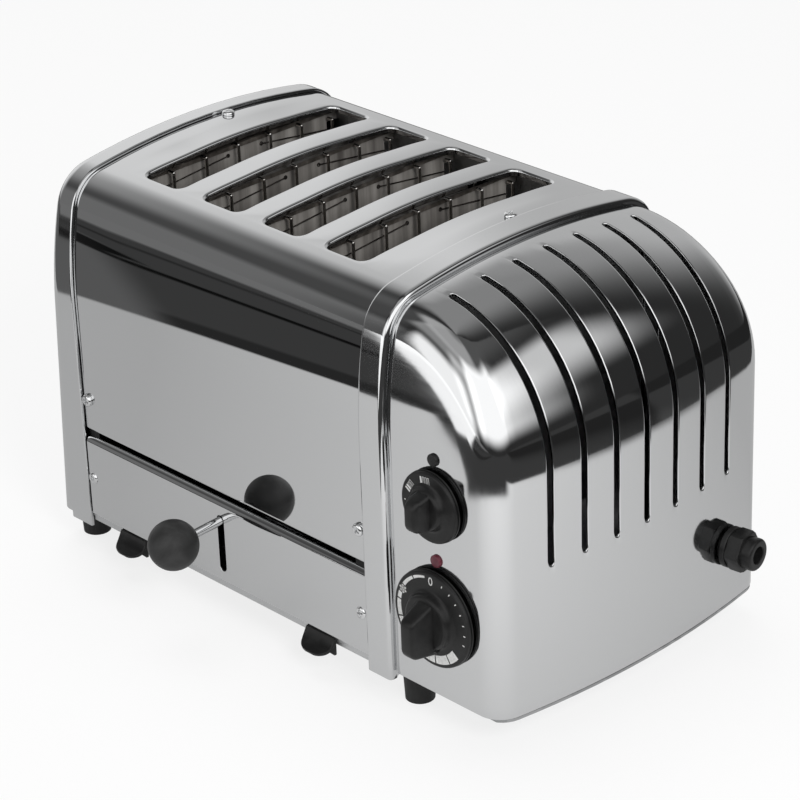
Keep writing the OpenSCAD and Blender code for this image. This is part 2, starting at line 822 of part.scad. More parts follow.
module lever_arm() {
    inner_end = [rod_inner_y + 3, rod_inner_z];
    pivot = [pivot_y, pivot_z];
    pin = [pin_y, pin_z];
    color("silver") difference() {
        union() {
            along_x(-arm_t / 2, arm_t / 2) {
                bar_2d(inner_end, pivot, arm_h);
                bar_2d(pivot, pin, arm_h);
            }
            rod_x(-hub_half, hub_half, pivot_y, pivot_z, hub_r);
            along_rod() translate([0, 0, -sleeve_len / 2 - 1]) cylinder(h = sleeve_len, r = sleeve_r);
        }
        along_rod() translate([0, 0, -fit_gap]) cylinder(h = reach, r = rod_r + fit_gap / 2);
        rod_x(-reach, reach, pivot_y, pivot_z, pivot_r + fit_gap / 2);
        rod_x(-reach, reach, pin_y, pin_z, lift_pin_r + fit_gap / 2);
    }
}

module lift_pin() {
    color("silver") rod_x(-lift_pin_half, lift_pin_half, pin_y, pin_z, lift_pin_r);
}

module lever_rod() {
    run = norm([rod_inner_y - ball_y, rod_inner_z - ball_z]);
    color("silver") along_rod() cylinder(h = run, r = rod_r);
}

module lever_ball() {
    run = norm([rod_inner_y - ball_y, rod_inner_z - ball_z]);
    color(black) difference() {
        translate([0, ball_y, ball_z]) sphere(ball_d / 2);
        along_rod() cylinder(h = run + fit_gap, r = rod_r + fit_gap / 2);
    }
}

// Carriage

module lift_frame() {
    rail_out = lift_rail_in + lift_rail_w;
    rack_end = slot_pitch * (slot_count - 1) / 2 + 8;
    top = lift_bar_z + lift_bar_h;
    half_w = lift_bar_w / 2;
    yoke_low = pin_z - lift_pin_r - slide_gap - 2;
    color(chassis) difference() {
        union() {
            mirror_copy([1, 0, 0]) {
                block([lift_rail_in, leg_front_y - half_w, lift_bar_z], [rail_out, leg_rear_y + half_w, top]);
                block([lift_rail_in, leg_front_y - half_w, lift_bar_z], [rack_end, leg_front_y + half_w, top]);
                block([lift_rail_in, guide_y - half_w, lift_bar_z], [guide_x, guide_y + half_w, top]);
                block(
                    [lift_rail_in, pin_y - 9, yoke_low],
                    [rail_out, pin_y + pin_sweep + 9, lift_bar_z + 0.1]);
                rod_z(guide_x, guide_y, lift_bar_z - lift_bar_h, lift_bar_z - lift_bar_h + bush_h, bush_r);
            }
            block([-rack_end, leg_rear_y - half_w, lift_bar_z], [rack_end, leg_rear_y + half_w, top]);
        }
        for (sx = [-1, 1]) rod_z(sx * guide_x, guide_y, 0, reach, guide_r + fit_gap);
        along_x(-reach, reach) {
            bar_2d([pin_y, pin_z], [pin_y + pin_sweep, pin_z], 2 * (lift_pin_r + slide_gap));
        }
    }
}

module guide_rod(sx) {
    collar = guide_r + 1.3;
    collar_h = 1.3;
    color("silver") translate([sx * guide_x, guide_y, 0]) {
        rod_z(0, 0, lug_low_z - collar_h, lug_high_z + lug_t + collar_h, guide_r);
        rod_z(0, 0, lug_low_z - collar_h, lug_low_z - 0.05, collar);
        rod_z(0, 0, lug_high_z + lug_t + 0.05, lug_high_z + lug_t + collar_h, collar);
    }
}

module bread_rack(x) {
    leg_w = 8;
    leg_t = 2;
    color("silver") translate([x, 0, 0]) {
        for (sx = [-1, 1]) rod_y(sx * rack_gauge, -rack_half, rack_half, rack_z, rack_r);
        for (y = [-rack_half + rack_r, leg_front_y, (leg_front_y + leg_rear_y) / 2, leg_rear_y, rack_half - rack_r])
            rod_x(-rack_gauge, rack_gauge, y, rack_z, rack_r);
        for (y = [leg_front_y, leg_rear_y]) block(
            [-leg_w / 2, y - leg_t / 2, lift_bar_z + lift_bar_h],
            [leg_w / 2, y + leg_t / 2, rack_z]);
    }
}

// Crumb tray

module crumb_tray() {
    t = tray_sheet;
    lip_half = wrap_half - 1;
    color(polished) {
        difference() {
            block([-tray_half, tray_front, tray_floor], [tray_half, tray_rear, tray_rim]);
            block(
                [-tray_half + t, tray_front + t, tray_floor + t],
                [tray_half - t, tray_rear - t, tray_rim + 1]);
        }
        block([-lip_half, tray_front, tray_floor], [lip_half, tray_front + t, panel_bottom - slide_gap]);
    }
}

// A finger tongue that curls out and down, with a triangular cheek at each end
module tray_pull(x) {
    t = 1.8;
    root = tray_front - 0.02;
    high = tray_floor + 3.7;
    curl = 7;
    tip = root - t - curl - 1;
    drop = high - curl - 0.8;
    cheek = 2;
    tongue = concat(
        [[root, high], [root - t, high]],
        turn([root - t - curl, high], curl, 0, -70, 6),
        [[tip, drop], [tip, drop - t]],
        turn([root - t - curl, high], curl + t, -75, 0, 6));
    color(black) translate([x, 0, 0]) intersection() {
        union() {
            along_x(-pull_w / 2, pull_w / 2) polygon(tongue);
            mirror_copy([1, 0, 0]) along_x(pull_w / 2 - cheek, pull_w / 2) polygon(
                [[root, high], [root - t - 3, high - curl + 0.5], [root - 1.2, high - curl - 3], [root, high - curl - 3]]);
        }
        linear_extrude(reach) translate([0, root]) polygon(rounded_rect(pull_w, 2 * (root - tip), 5.5));
    }
}

// Controls

// Profile of a knob's skirt and hub, revolved about the shaft
module knob_profile(r, skirt_t, hub_r, hub_h) {
    edge = 1.2;
    polygon(concat(
        [[0, 0], [r - 0.5, 0], [r, 0.5], [r, skirt_t - edge]],
        turn([r - edge, skirt_t - edge], edge, 0, 90, 4),
        [[hub_r + 1.5, skirt_t], [hub_r, skirt_t + 1.5], [hub_r, hub_h - 1]],
        turn([hub_r - 1, hub_h - 1], 1, 0, 90, 3),
        [[0, hub_h]]));
}

// A knob on the cap's front face: its wing's foot and outer edge each span a low and a high end
module knob(z, d, skirt_t, hub_r, hub_h, foot, edge, wing_t, out) {
    round = 3;
    color(black) translate([dial_x, front_face - knob_stand, z]) rotate([90, 0, 0]) difference() {
        union() {
            rotate_extrude() knob_profile(d / 2, skirt_t, hub_r, hub_h);
            rotate([90, 0, 90]) translate([0, 0, -wing_t / 2]) linear_extrude(wing_t) polygon(concat(
                [[foot[1], skirt_t - 0.5]],
                turn([edge[1] - round, out - round], round, 20, 90, 4),
                turn([edge[0] + round, out - round], round, 90, 170, 4),
                [[foot[0], skirt_t - 0.5]]));
        }
        translate([0, 0, -1]) cylinder(h = out - 5, r = shaft_d / 2 + fit_gap / 2);
    }
}

module timer_knob() {
    knob(timer_z, timer_d, timer_skirt, timer_hub_r, timer_hub_h, timer_foot, timer_edge, timer_wing_t, timer_out);
}

module selector_knob() {
    knob(
        selector_z, selector_d, selector_skirt, selector_hub_r, selector_hub_h, selector_foot, selector_edge,
        selector_wing_t, selector_out);
}

module knob_shaft(z, out) {
    color("silver") rod_y(dial_x, front_face - knob_stand - out + 6.5, front_wall + shaft_in, z, shaft_d / 2);
}

module timer_shaft() {
    knob_shaft(timer_z, timer_out);
}

module selector_shaft() {
    knob_shaft(selector_z, selector_out);
}

// The bushing and bore that a knob shaft turns in
module shaft_seat(z) {
    difference() {
        union() {
            children();
            rod_y(dial_x, front_face - slide_gap, front_wall + 1, z, shaft_d / 2 + 2);
        }
        rod_y(dial_x, front_face - 5, front_wall + shaft_in + slide_gap, z, shaft_d / 2 + fit_gap / 2);
    }
}

module timer_unit() {
    color("gainsboro") shaft_seat(timer_z) block(
        [dial_x - timer_half, front_wall + 0.05, timer_z - timer_half],
        [dial_x + timer_half, front_wall + timer_deep, timer_z + timer_half]);
}

module selector_switch() {
    tag_len = 8;
    tag_w = 6;
    tag_r = selector_r - 7;
    color("dimgray") shaft_seat(selector_z) {
        rod_y(dial_x, front_wall + 0.05, front_wall + selector_deep, selector_z, selector_r);
        for (i = [0:4]) rotate_about(dial_x, selector_z, 36 + 72 * i) block(
            [dial_x - tag_w / 2, front_wall + selector_deep - 1, selector_z + tag_r],
            [dial_x + tag_w / 2, front_wall + selector_deep + tag_len, selector_z + tag_r + 0.8]);
    }
}

module rotate_about(x, z, a) {
    translate([x, 0, z]) rotate([0, a, 0]) translate([-x, 0, -z]) children();
}

// A push-in stud on the cap's front face: a rounded head outside and a body inside
module stud(z, body_r, body_len) {
    head_h = 1.3;
    r = button_d / 2;
    translate([dial_x, front_face - 0.05, z]) rotate([90, 0, 0]) {
        rotate_extrude() polygon(concat(
            [[0, 0], [r, 0], [r, head_h / 2]],
            turn([r - head_h / 2, head_h / 2], head_h / 2, 0, 90, 4),
            [[0, head_h + 0.3]]));
        translate([0, 0, -cap_wall - 0.5]) cylinder(h = cap_wall + 1, r = r - 0.4);
        translate([0, 0, -cap_wall - slide_gap - body_len]) cylinder(h = body_len, r = body_r);
    }
}

module neon_lamp() {
    color([0.45, 0.07, 0.10]) stud(lens_z, 4, 16);
}

module index_plug() {
    color(black) stud(plug_z, 3.6, 2);
}

// Cable gland

module gland_body() {
    color(black) on_end_face() difference() {
        union() {
            translate([0, 0, 0.15]) cylinder(h = collar_h, r = stem_r + 2.5);
            translate([0, 0, -stem_in]) cylinder(h = stem_in + collar_h, r = stem_r);
        }
        translate([0, 0, -stem_in - 1]) cylinder(h = stem_in + collar_h + 2, r = gland_bore_r);
    }
}

// A hexagon nut with a turned nose
module gland_nut() {
    hex_h = 8;
    color(black) on_end_face() translate([0, 0, collar_h + 0.2]) difference() {
        union() {
            cylinder(h = hex_h, d = gland_hex_d, $fn = 6);
            cylinder(h = nut_h, r = gland_hex_d / 2 - 2.5);
        }
        translate([0, 0, -1]) cylinder(h = nut_h + 2, r = gland_bore_r);
    }
}

module gland_locknut() {
    color(black) on_end_face() translate([0, 0, -cap_wall - 0.3 - locknut_h]) difference() {
        cylinder(h = locknut_h, d = gland_hex_d + 2, $fn = 6);
        translate([0, 0, -1]) cylinder(h = locknut_h + 2, r = stem_r + fit_gap);
    }
}

module terminal_block() {
    ways = 3;
    way = 10;
    long = ways * way;
    x = dome_x + dome_len - 42;
    color("gainsboro") difference() {
        block([x, gland_y - long, cap_bottom], [x + 16, gland_y, cap_bottom + 12]);
        for (i = [0:ways - 1]) {
            y = gland_y - (i + 0.5) * way;
            rod_x(x - 1, x + 17, y, cap_bottom + 5, 2);
            rod_z(x + 8, y, cap_bottom + 6, cap_bottom + 13, 2);
        }
    }
}

// Feet and fasteners

module each_foot() {
    for (sx = [-1, 1], sy = [-1, 1]) translate([sx * foot_spacing_x / 2, sy * foot_spacing_y / 2, 0]) children();
}

module feet() {
    taper = 0.9;
    pocket = 7;
    color(black) each_foot() difference() {
        cylinder(h = base_bottom, r1 = foot_d / 2 - taper, r2 = foot_d / 2);
        translate([0, 0, -1]) cylinder(h = pocket + 1, r = screw_head_r + 0.5);
        cylinder(h = base_bottom + 1, r = screw_r + bolt_gap);
    }
}

// A pan-head screw: its shank runs down Z and its head sits on the plane z = 0
module pan_screw(shank) {
    round = 1.4;
    rotate_extrude() polygon(concat(
        [[0, -shank], [screw_r - 0.5, -shank], [screw_r, -shank + 0.5], [screw_r, 0], [screw_head_r, 0],
            [screw_head_r, screw_head_h - round]],
        turn([screw_head_r - round, screw_head_h - round], round, 0, 90, 4),
        [[0, screw_head_h]]));
}

module foot_screws() {
    color("silver") each_foot() translate([0, 0, 7 - 0.05]) mirror([0, 0, 1]) pan_screw(base_bottom - 7 + base_sheet + 4);
}

module panel_screws() {
    color("silver") for (sx = [-1, 1], z = [upper_screw_z, lower_screw_z]) mirror_copy([0, 1, 0])
        translate([sx * screw_x, -half_depth - 0.05, z]) rotate([90, 0, 0]) pan_screw(screw_len);
}

module top_screws() {
    color("silver") for (sx = [-1, 1]) translate([sx * screw_x, top_screw_y, crest]) pan_screw(screw_len);
}

wrap();
lower_front_panel();
lower_back_panel();
left_end_cap();
right_end_cap();
base_plate();
left_bulkhead();
right_bulkhead();
front_frame();
rear_frame();
element(element_xs[0]);  // element_1
element(element_xs[1]);  // element_2
element(element_xs[2]);  // element_3
element(element_xs[3]);  // element_4
element(element_xs[4]);  // element_5
winding(element_xs[0]);  // winding_1
winding(element_xs[1]);  // winding_2
winding(element_xs[2]);  // winding_3
winding(element_xs[3]);  // winding_4
winding(element_xs[4]);  // winding_5
element_clips();
guard(slot_xs[0]);  // guard_1
guard(slot_xs[1]);  // guard_2
guard(slot_xs[2]);  // guard_3
guard(slot_xs[3]);  // guard_4
lever_bracket();
lever_pivot();
guide_rod(-1);  // left_guide_rod
guide_rod(1);  // right_guide_rod
tray_runners();
feet();
foot_screws();
panel_screws();
top_screws();
timer_unit();
selector_switch();
neon_lamp();
index_plug();
gland_body();
gland_nut();
gland_locknut();
terminal_block();
lever_arm();
lever_rod();
lever_ball();
lift_pin();
lift_frame();
bread_rack(slot_xs[0]);  // bread_rack_1
bread_rack(slot_xs[1]);  // bread_rack_2
bread_rack(slot_xs[2]);  // bread_rack_3
bread_rack(slot_xs[3]);  // bread_rack_4
crumb_tray();
tray_pull(-pull_spacing / 2);  // left_tray_pull
tray_pull(pull_spacing / 2);  // right_tray_pull
timer_knob();
timer_shaft();
selector_knob();
selector_shaft();
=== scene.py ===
import math

import bmesh
import bpy
from mathutils import Matrix, Vector


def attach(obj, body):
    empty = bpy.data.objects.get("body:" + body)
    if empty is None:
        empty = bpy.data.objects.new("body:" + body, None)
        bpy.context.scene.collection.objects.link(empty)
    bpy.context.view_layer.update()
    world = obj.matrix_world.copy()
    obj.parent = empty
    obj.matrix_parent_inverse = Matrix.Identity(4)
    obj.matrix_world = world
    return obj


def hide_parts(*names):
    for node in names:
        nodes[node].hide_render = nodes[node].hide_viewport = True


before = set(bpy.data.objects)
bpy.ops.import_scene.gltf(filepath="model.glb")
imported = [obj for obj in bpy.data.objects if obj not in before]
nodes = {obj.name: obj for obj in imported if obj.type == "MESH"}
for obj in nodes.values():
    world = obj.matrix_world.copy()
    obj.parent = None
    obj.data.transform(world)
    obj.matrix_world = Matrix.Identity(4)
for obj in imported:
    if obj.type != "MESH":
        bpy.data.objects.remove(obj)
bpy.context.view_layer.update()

scene = bpy.context.scene
MM = 0.001

# Sizes of the part in millimetres, on the same axes as the solids

# Body section, sheets and joint lines
HALF_DEPTH = 95.5
CREST = 218.5
SHOULDER = 142.0
SHEET = 1.2
SIDE_R = 270.0
CORNER_R = 22.0
CROWN_R = 420.0
WRAP_HALF = 107.0
WRAP_BOTTOM = 73.0
WRAP_WALL = 1.0
WRAP_EDGE_XS = (88.0, 94.0, 100.0, 106.0, 112.0)
WRAP_SIDE_ZS = (138.0, 120.0, 97.0, 76.0, 74.9, 74.5)
LEFT_SEAM = -106.1
SEAM_ZS = (175.0, 120.0)
PANEL_TOP = 68.0
PANEL_BOTTOM = 24.3
PANEL_ROLL = 3.0
PANEL_SHELF = 8.0
PANEL_FOOT = 5.0
PANEL_ZS = (64.7, 64.3, 26.2, 25.8)
PANEL_XS = (LEFT_SEAM, -60.0, 0.0, 60.0, 110.0)
LEVER_SLOT_HALF_W = 2.6
LEVER_SLOT_ZS = (31.1, 58.0)

# Bread slots
SLOT_XS = (-66.9, -22.3, 22.3, 66.9)
SLOT_HALF_W = 14.0
SLOT_HALF_LEN = 65.3
SLOT_R = 5.0
SLOT_ROLL = 1.8
SLOT_DEEP = 3.5
SLOT_SAG = 1.3
SAG_XS = (100.0, 84.0)
SAG_YS = (68.0, 30.0)

# End caps and vents
CAP_WALL = 1.5
CAP_DROP = 1.5
CAP_BOTTOM = 18.5
RIM_PROUD = 1.9
RIM_BOTTOM = 15.0
RIM_BEAD_R = 2.0
RIM_OUTER = 122.9
GROOVE_END = 124.1
GROOVE_DROP = 2.6
LEFT_X = 126.5
LEFT_EDGE_R = 7.0
LEFT_LEAN = 0.05
DOME_X = 126.0
BOW_R = 500.0
END_CORNER_R = 15.5
FLAT_R = 60000.0
VENT_YS = (-61.8, -41.2, -20.6, 0.0, 20.6, 41.2, 61.8)
VENT_HALF_W = 1.8
VENT_BOTTOM = 94.5
VENT_TOP_ANGLE = 81.5

# Dials, lever and tray pulls
DIAL_X = 154.0
DIAL_BACK_Y = -95.0
TIMER_Z = 62.5
SELECTOR_Z = 121.8
BALL = (0.0, -127.5, 56.3)
BALL_R = 13.0
PULL_XS = (-72.25, 72.25)
PULL_HALF_W = 10.5
PULL_TIP_R = 8.5
PULL_ROOT_R = 5.0

# Screws
SCREW_X = 102.9
SCREW_SEAT_Y = 95.55
SCREW_ZS = (90.7, 45.1)
TOP_SCREW_Y = 10.8

# Upper edges of the heating elements
ELEMENT_XS = (-89.2, -44.6, 0.0, 44.6, 89.2)
MICA_HALF = 0.5
STRIP_OUT = 1.4
STRIP_IN = 0.6
STRIP_LOW = 206.0
STRIP_TOP = 208.3
STRIP_HALF = 73.4
LEAD_R = 0.4
LEAD_ENDS = ((20.0, 66.0), (-3.0, -66.0))
LEAD_LOW = 197.2
EYE_Z = 203.0

# Cable gland
GLAND = (197.82, 64.0, 52.0)
GLAND_TURN = 7.474
GLAND_BORE_R = 4.5


# Hands: what is done at the bench to any piece

def clear_bench():
    if bpy.context.mode != "OBJECT":
        bpy.ops.object.mode_set(mode="OBJECT")
    bpy.ops.object.select_all(action="DESELECT")


def take(obj):
    clear_bench()
    obj.select_set(True)
    bpy.context.view_layer.objects.active = obj
    return obj


def on_bench():
    """The piece that was made or taken last."""
    return bpy.context.view_layer.objects.active


def open_mesh(obj):
    """Goes into a piece's mesh, with all of it selected."""
    take(obj)
    bpy.ops.object.mode_set(mode="EDIT")
    bpy.ops.mesh.select_all(action="SELECT")


def close_mesh():
    bpy.ops.object.mode_set(mode="OBJECT")


def pick(obj, part, test):
    """In edit mode, selects the parts whose middle, in millimetres, passes the test."""
    bpy.ops.mesh.select_mode(type=part)
    bpy.ops.mesh.select_all(action="DESELECT")
    shape = bmesh.from_edit_mesh(obj.data)
    shape.normal_update()
    kinds = {"VERT": shape.verts, "EDGE": shape.edges, "FACE": shape.faces}
    for item in kinds[part]:
        corners = [item] if part == "VERT" else item.verts
        middle = sum((v.co for v in corners), Vector()) / len(corners) / MM
        if test(middle, item):
            item.select_set(True)
    bmesh.update_edit_mesh(obj.data)


def drawn(name, points, faces=(), edges=()):
    """A mesh from points in millimetres."""
    mesh = bpy.data.meshes.new(name)
    mesh.from_pydata([Vector(p) * MM for p in points], list(edges), list(faces))
    obj = bpy.data.objects.new(name, mesh)
    scene.collection.objects.link(obj)
    return take(obj)


def weld(obj, outwards=True):
    open_mesh(obj)
    bpy.ops.mesh.remove_doubles(threshold=0.00001)
    if outwards:
        bpy.ops.mesh.normals_make_consistent(inside=False)
    close_mesh()
    return obj


def apply_modifier(obj, kind, **settings):
    take(obj)
    modifier = obj.modifiers.new(kind.title(), kind)
    for key, value in settings.items():
        setattr(modifier, key, value)
    bpy.ops.object.modifier_apply(modifier=modifier.name)
    return obj


def thicken(obj, wall):
    """Gives a sheet its wall, inwards from the drawn face."""
    return apply_modifier(obj, "SOLIDIFY", thickness=wall * MM, offset=-1.0, use_even_offset=True)


def soften(obj, width, angle=40, segments=2):
    return apply_modifier(
        obj, "BEVEL", width=width * MM, segments=segments, limit_method="ANGLE",
        angle_limit=math.radians(angle), use_clamp_overlap=False, harden_normals=False)


def cut(obj, tool, operation="DIFFERENCE"):
    apply_modifier(obj, "BOOLEAN", operation=operation, object=tool, solver="EXACT")
    bpy.data.objects.remove(tool)
    return obj


def smooth(obj, angle=35):
    take(obj)
    bpy.ops.object.shade_smooth_by_angle(angle=math.radians(angle))
    return obj


def settle(obj):
    take(obj)
    bpy.ops.object.transform_apply(location=True, rotation=True, scale=True)
    return obj


def moved(x, y, z):
    """A move given in millimetres."""
    return Matrix.Translation(Vector((x, y, z)) * MM)


def rotated(angle, axis):
    """A turn given in degrees."""
    return Matrix.Rotation(math.radians(angle), 4, axis)


def place(obj, matrix):
    """Moves a piece made in millimetres about its own origin to its place, inside its mesh."""
    obj.data.transform(matrix)
    obj.data.update()
    return obj


def copied(obj, name, matrix=Matrix.Identity(4)):
    take(obj)
    bpy.ops.object.duplicate()
    copy = on_bench()
    copy.name = name
    copy.data.name = name
    return place(copy, matrix)


def joined(name, parts):
    clear_bench()
    for part in parts:
        part.select_set(True)
    bpy.context.view_layer.objects.active = parts[0]
    bpy.ops.object.join()
    obj = on_bench()
    obj.name = name
    obj.data.name = name
    return obj


def mirrored(obj, name, axis):
    scale = Matrix.Diagonal([-1 if i == axis else 1 for i in range(3)]).to_4x4()
    copy = copied(obj, name, scale)
    open_mesh(copy)
    bpy.ops.mesh.flip_normals()
    close_mesh()
    return copy


def turned(name, profile, steps=64):
    """A shape turned about Z from a profile of (radius, height)."""
    chain = [(i, i + 1) for i in range(len(profile) - 1)]
    obj = drawn(name, [(r, 0, h) for r, h in profile], edges=chain)
    open_mesh(obj)
    bpy.ops.mesh.spin(steps=steps, angle=math.tau, center=(0, 0, 0), axis=(0, 0, 1))
    close_mesh()
    return weld(obj)


def extruded(name, outline, axis, low, high):
    """A flat outline, given on the plane across the axis, pushed out along the axis."""
    points = [tuple(p[:axis]) + (low,) + tuple(p[axis:]) for p in outline]
    obj = drawn(name, points, faces=[tuple(range(len(points)))])
    open_mesh(obj)
    push = [0, 0, 0]
    push[axis] = (high - low) * MM
    bpy.ops.mesh.extrude_region_move(TRANSFORM_OT_translate={"value": push})
    close_mesh()
    return weld(obj)


def on_circle(centre, r, a):
    return (centre[0] + r * math.cos(a), centre[1] + r * math.sin(a))


def arc(centre, r, a0, a1, n):
    """Points on an arc in degrees, both ends included."""
    return [on_circle(centre, r, math.radians(a0 + (a1 - a0) * i / n)) for i in range(n + 1)]


def all_points(rows):
    return [p for row in rows for p in row]


def dress(obj, material):
    obj.data.materials.clear()
    obj.data.materials.append(material)


def finished(obj, material, body, slot, *replaced):
    """Dresses a piece and hangs it on its body."""
    dress(obj, material)
    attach(obj, body)
    if replaced:
        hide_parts(*replaced)
    return obj


# Finishes

def preset(node, **values):
    """Sets a node's inputs by name."""
    for key, value in values.items():
        words = [word.upper() if word == "ior" else word.title() for word in key.split("_")]
        node.inputs[" ".join(words)].default_value = value
    return node


def soft_step(tree, value, low, high):
    """A mask that goes from 0 at low to 1 at high."""
    node = preset(tree.nodes.new("ShaderNodeMapRange"), from_min=low, from_max=high)
    node.interpolation_type = "SMOOTHSTEP"
    tree.links.new(value, node.inputs["Value"])
    return node.outputs["Result"]


def maths(tree, operation, *values):
    node = tree.nodes.new("ShaderNodeMath")
    node.operation = operation
    for socket, value in zip(node.inputs, values):
        if isinstance(value, (int, float)):
            socket.default_value = value
        else:
            tree.links.new(value, socket)
    return node.outputs[0]


def window(tree, value, low, high, soft, high_soft=None):
    """A mask that is 1 between low and high, with soft edges; the upper one may have its own softness."""
    if high_soft is None:
        high_soft = soft
    rise = soft_step(tree, value, low - soft, low + soft)
    fall = soft_step(tree, value, high + high_soft, high - high_soft)
    return maths(tree, "MULTIPLY", rise, fall)


def along(tree, vector, direction):
    """How far a place lies along a direction."""
    node = tree.nodes.new("ShaderNodeVectorMath")
    node.operation = "DOT_PRODUCT"
    node.inputs[1].default_value = direction
    tree.links.new(vector, node.inputs[0])
    return node.outputs["Value"]


def shader_group(name, inputs, outputs):
    group = bpy.data.node_groups.new(name, "ShaderNodeTree")
    for label, kind, value in inputs:
        socket = group.interface.new_socket(label, in_out="INPUT", socket_type=kind)
        if value is not None:
            socket.default_value = value
    for label, kind in outputs:
        group.interface.new_socket(label, in_out="OUTPUT", socket_type=kind)
    entry = group.nodes.new("NodeGroupInput")
    leave = group.nodes.new("NodeGroupOutput")
    return group, entry, leave


def brushing_group():
    """Fine lines drawn out along one direction, for brushed and drawn metal."""
    group, entry, leave = shader_group(
        "Brushing",
        [("Vector", "NodeSocketVector", None), ("Stretch", "NodeSocketVector", (15, 900, 15)),
         ("Smooth", "NodeSocketFloat", 0.1), ("Rough", "NodeSocketFloat", 0.3)],
        [("Height", "NodeSocketFloat"), ("Roughness", "NodeSocketFloat")])
    new, link = group.nodes.new, group.links.new
    stretch = new("ShaderNodeVectorMath")
    stretch.operation = "MULTIPLY"
    link(entry.outputs["Vector"], stretch.inputs[0])
    link(entry.outputs["Stretch"], stretch.inputs[1])
    lines = preset(new("ShaderNodeTexNoise"), scale=1.0, detail=5.0, roughness=0.65)
    link(stretch.outputs[0], lines.inputs["Vector"])
    patches = preset(new("ShaderNodeTexNoise"), scale=34.0, detail=3.0)
    link(entry.outputs["Vector"], patches.inputs["Vector"])
    shade = maths(group, "MULTIPLY", patches.outputs["Fac"], 0.35)
    both = maths(group, "MULTIPLY_ADD", lines.outputs["Fac"], 0.65, shade)
    span = preset(new("ShaderNodeMapRange"), from_min=0.3, from_max=0.7)
    link(both, span.inputs["Value"])
    link(entry.outputs["Smooth"], span.inputs["To Min"])
    link(entry.outputs["Rough"], span.inputs["To Max"])
    link(lines.outputs["Fac"], leave.inputs["Height"])
    link(span.outputs["Result"], leave.inputs["Roughness"])
    return group


def handling_group():
    """Smudges and a fine grain, for polished sheet and moulded plastic."""
    group, entry, leave = shader_group(
        "Handling",
        [("Vector", "NodeSocketVector", None), ("Smudge Scale", "NodeSocketFloat", 30.0),
         ("Grain Scale", "NodeSocketFloat", 1500.0), ("Clean", "NodeSocketFloat", 0.05),
         ("Smudged", "NodeSocketFloat", 0.12)],
        [("Grain", "NodeSocketFloat"), ("Roughness", "NodeSocketFloat"), ("Mask", "NodeSocketFloat")])
    new, link = group.nodes.new, group.links.new
    smudge = preset(new("ShaderNodeTexNoise"), detail=6.0, roughness=0.6, distortion=0.4)
    link(entry.outputs["Vector"], smudge.inputs["Vector"])
    link(entry.outputs["Smudge Scale"], smudge.inputs["Scale"])
    grain = preset(new("ShaderNodeTexNoise"), detail=2.0)
    link(entry.outputs["Vector"], grain.inputs["Vector"])
    link(entry.outputs["Grain Scale"], grain.inputs["Scale"])
    mask = soft_step(group, smudge.outputs["Fac"], 0.42, 0.72)
    span = new("ShaderNodeMapRange")
    link(mask, span.inputs["Value"])
    link(entry.outputs["Clean"], span.inputs["To Min"])
    link(entry.outputs["Smudged"], span.inputs["To Max"])
    link(grain.outputs["Fac"], leave.inputs["Grain"])
    link(span.outputs["Result"], leave.inputs["Roughness"])
    link(mask, leave.inputs["Mask"])
    return group


BRUSHING = brushing_group()
HANDLING = handling_group()


class Finish:
    """A material being mixed: its shader, and short ways to add and join nodes."""

    def __init__(self, name, colour, metallic=0.0, roughness=0.5):
        self.material = bpy.data.materials.new(name)
        self.material.use_nodes = True
        self.material.diffuse_color = (*colour, 1)
        tree = self.material.node_tree
        self.add, self.link = tree.nodes.new, tree.links.new
        self.shader = tree.nodes["Principled BSDF"]
        self.set(base_color=(*colour, 1), metallic=metallic, roughness=roughness)
        self.object = self.add("ShaderNodeTexCoord").outputs["Object"]

    def set(self, **values):
        preset(self.shader, **values)
        return self

    def group(self, tree, **values):
        node = self.add("ShaderNodeGroup")
        node.node_tree = tree
        self.link(self.object, node.inputs["Vector"])
        return preset(node, **values)

    def noise(self, scale, detail=4.0, stretch=None):
        node = preset(self.add("ShaderNodeTexNoise"), scale=scale, detail=detail)
        source = self.object
        if stretch:
            mapping = preset(self.add("ShaderNodeMapping"), scale=stretch)
            self.link(source, mapping.inputs["Vector"])
            source = mapping.outputs["Vector"]
        self.link(source, node.inputs["Vector"])
        return node.outputs["Fac"]

    def ramp(self, value, stops):
        node = self.add("ShaderNodeValToRGB")
        while len(node.color_ramp.elements) < len(stops):
            node.color_ramp.elements.new(0.5)
        for element, (at, colour) in zip(node.color_ramp.elements, stops):
            element.position = at
            element.color = (*colour, 1)
        self.link(value, node.inputs["Fac"])
        return node.outputs["Color"]

    def to(self, socket, name):
        self.link(socket, self.shader.inputs[name])
        return self

    def bump(self, height, distance, strength=1.0, over=None):
        node = preset(self.add("ShaderNodeBump"), strength=strength, distance=distance * MM)
        self.link(height, node.inputs["Height"])
        if over:
            self.link(over, node.inputs["Normal"])
        return node.outputs["Normal"]


def polished_steel():
    finish = Finish("polished_steel", (0.64, 0.645, 0.65), 1.0, 0.08)
    care = finish.group(HANDLING, smudge_scale=22.0, grain_scale=700.0, clean=0.015, smudged=0.05)
    finish.to(care.outputs["Roughness"], "Roughness")
    roll = finish.noise(9.0, 1.0)
    finish.to(finish.bump(roll, 0.35, 0.25), "Normal")
    return finish.material


def satin_cap():
    finish = Finish("satin_cap_metal", (0.66, 0.665, 0.67), 1.0, 0.22)
    brush = finish.group(BRUSHING, stretch=(14, 1100, 14), smooth=0.035, rough=0.09)
    finish.to(brush.outputs["Roughness"], "Roughness")
    cast = finish.noise(26.0, 2.0)
    fine = finish.bump(brush.outputs["Height"], 0.008, 0.5)
    finish.to(finish.bump(cast, 0.12, 0.35, fine), "Normal")
    return finish.material


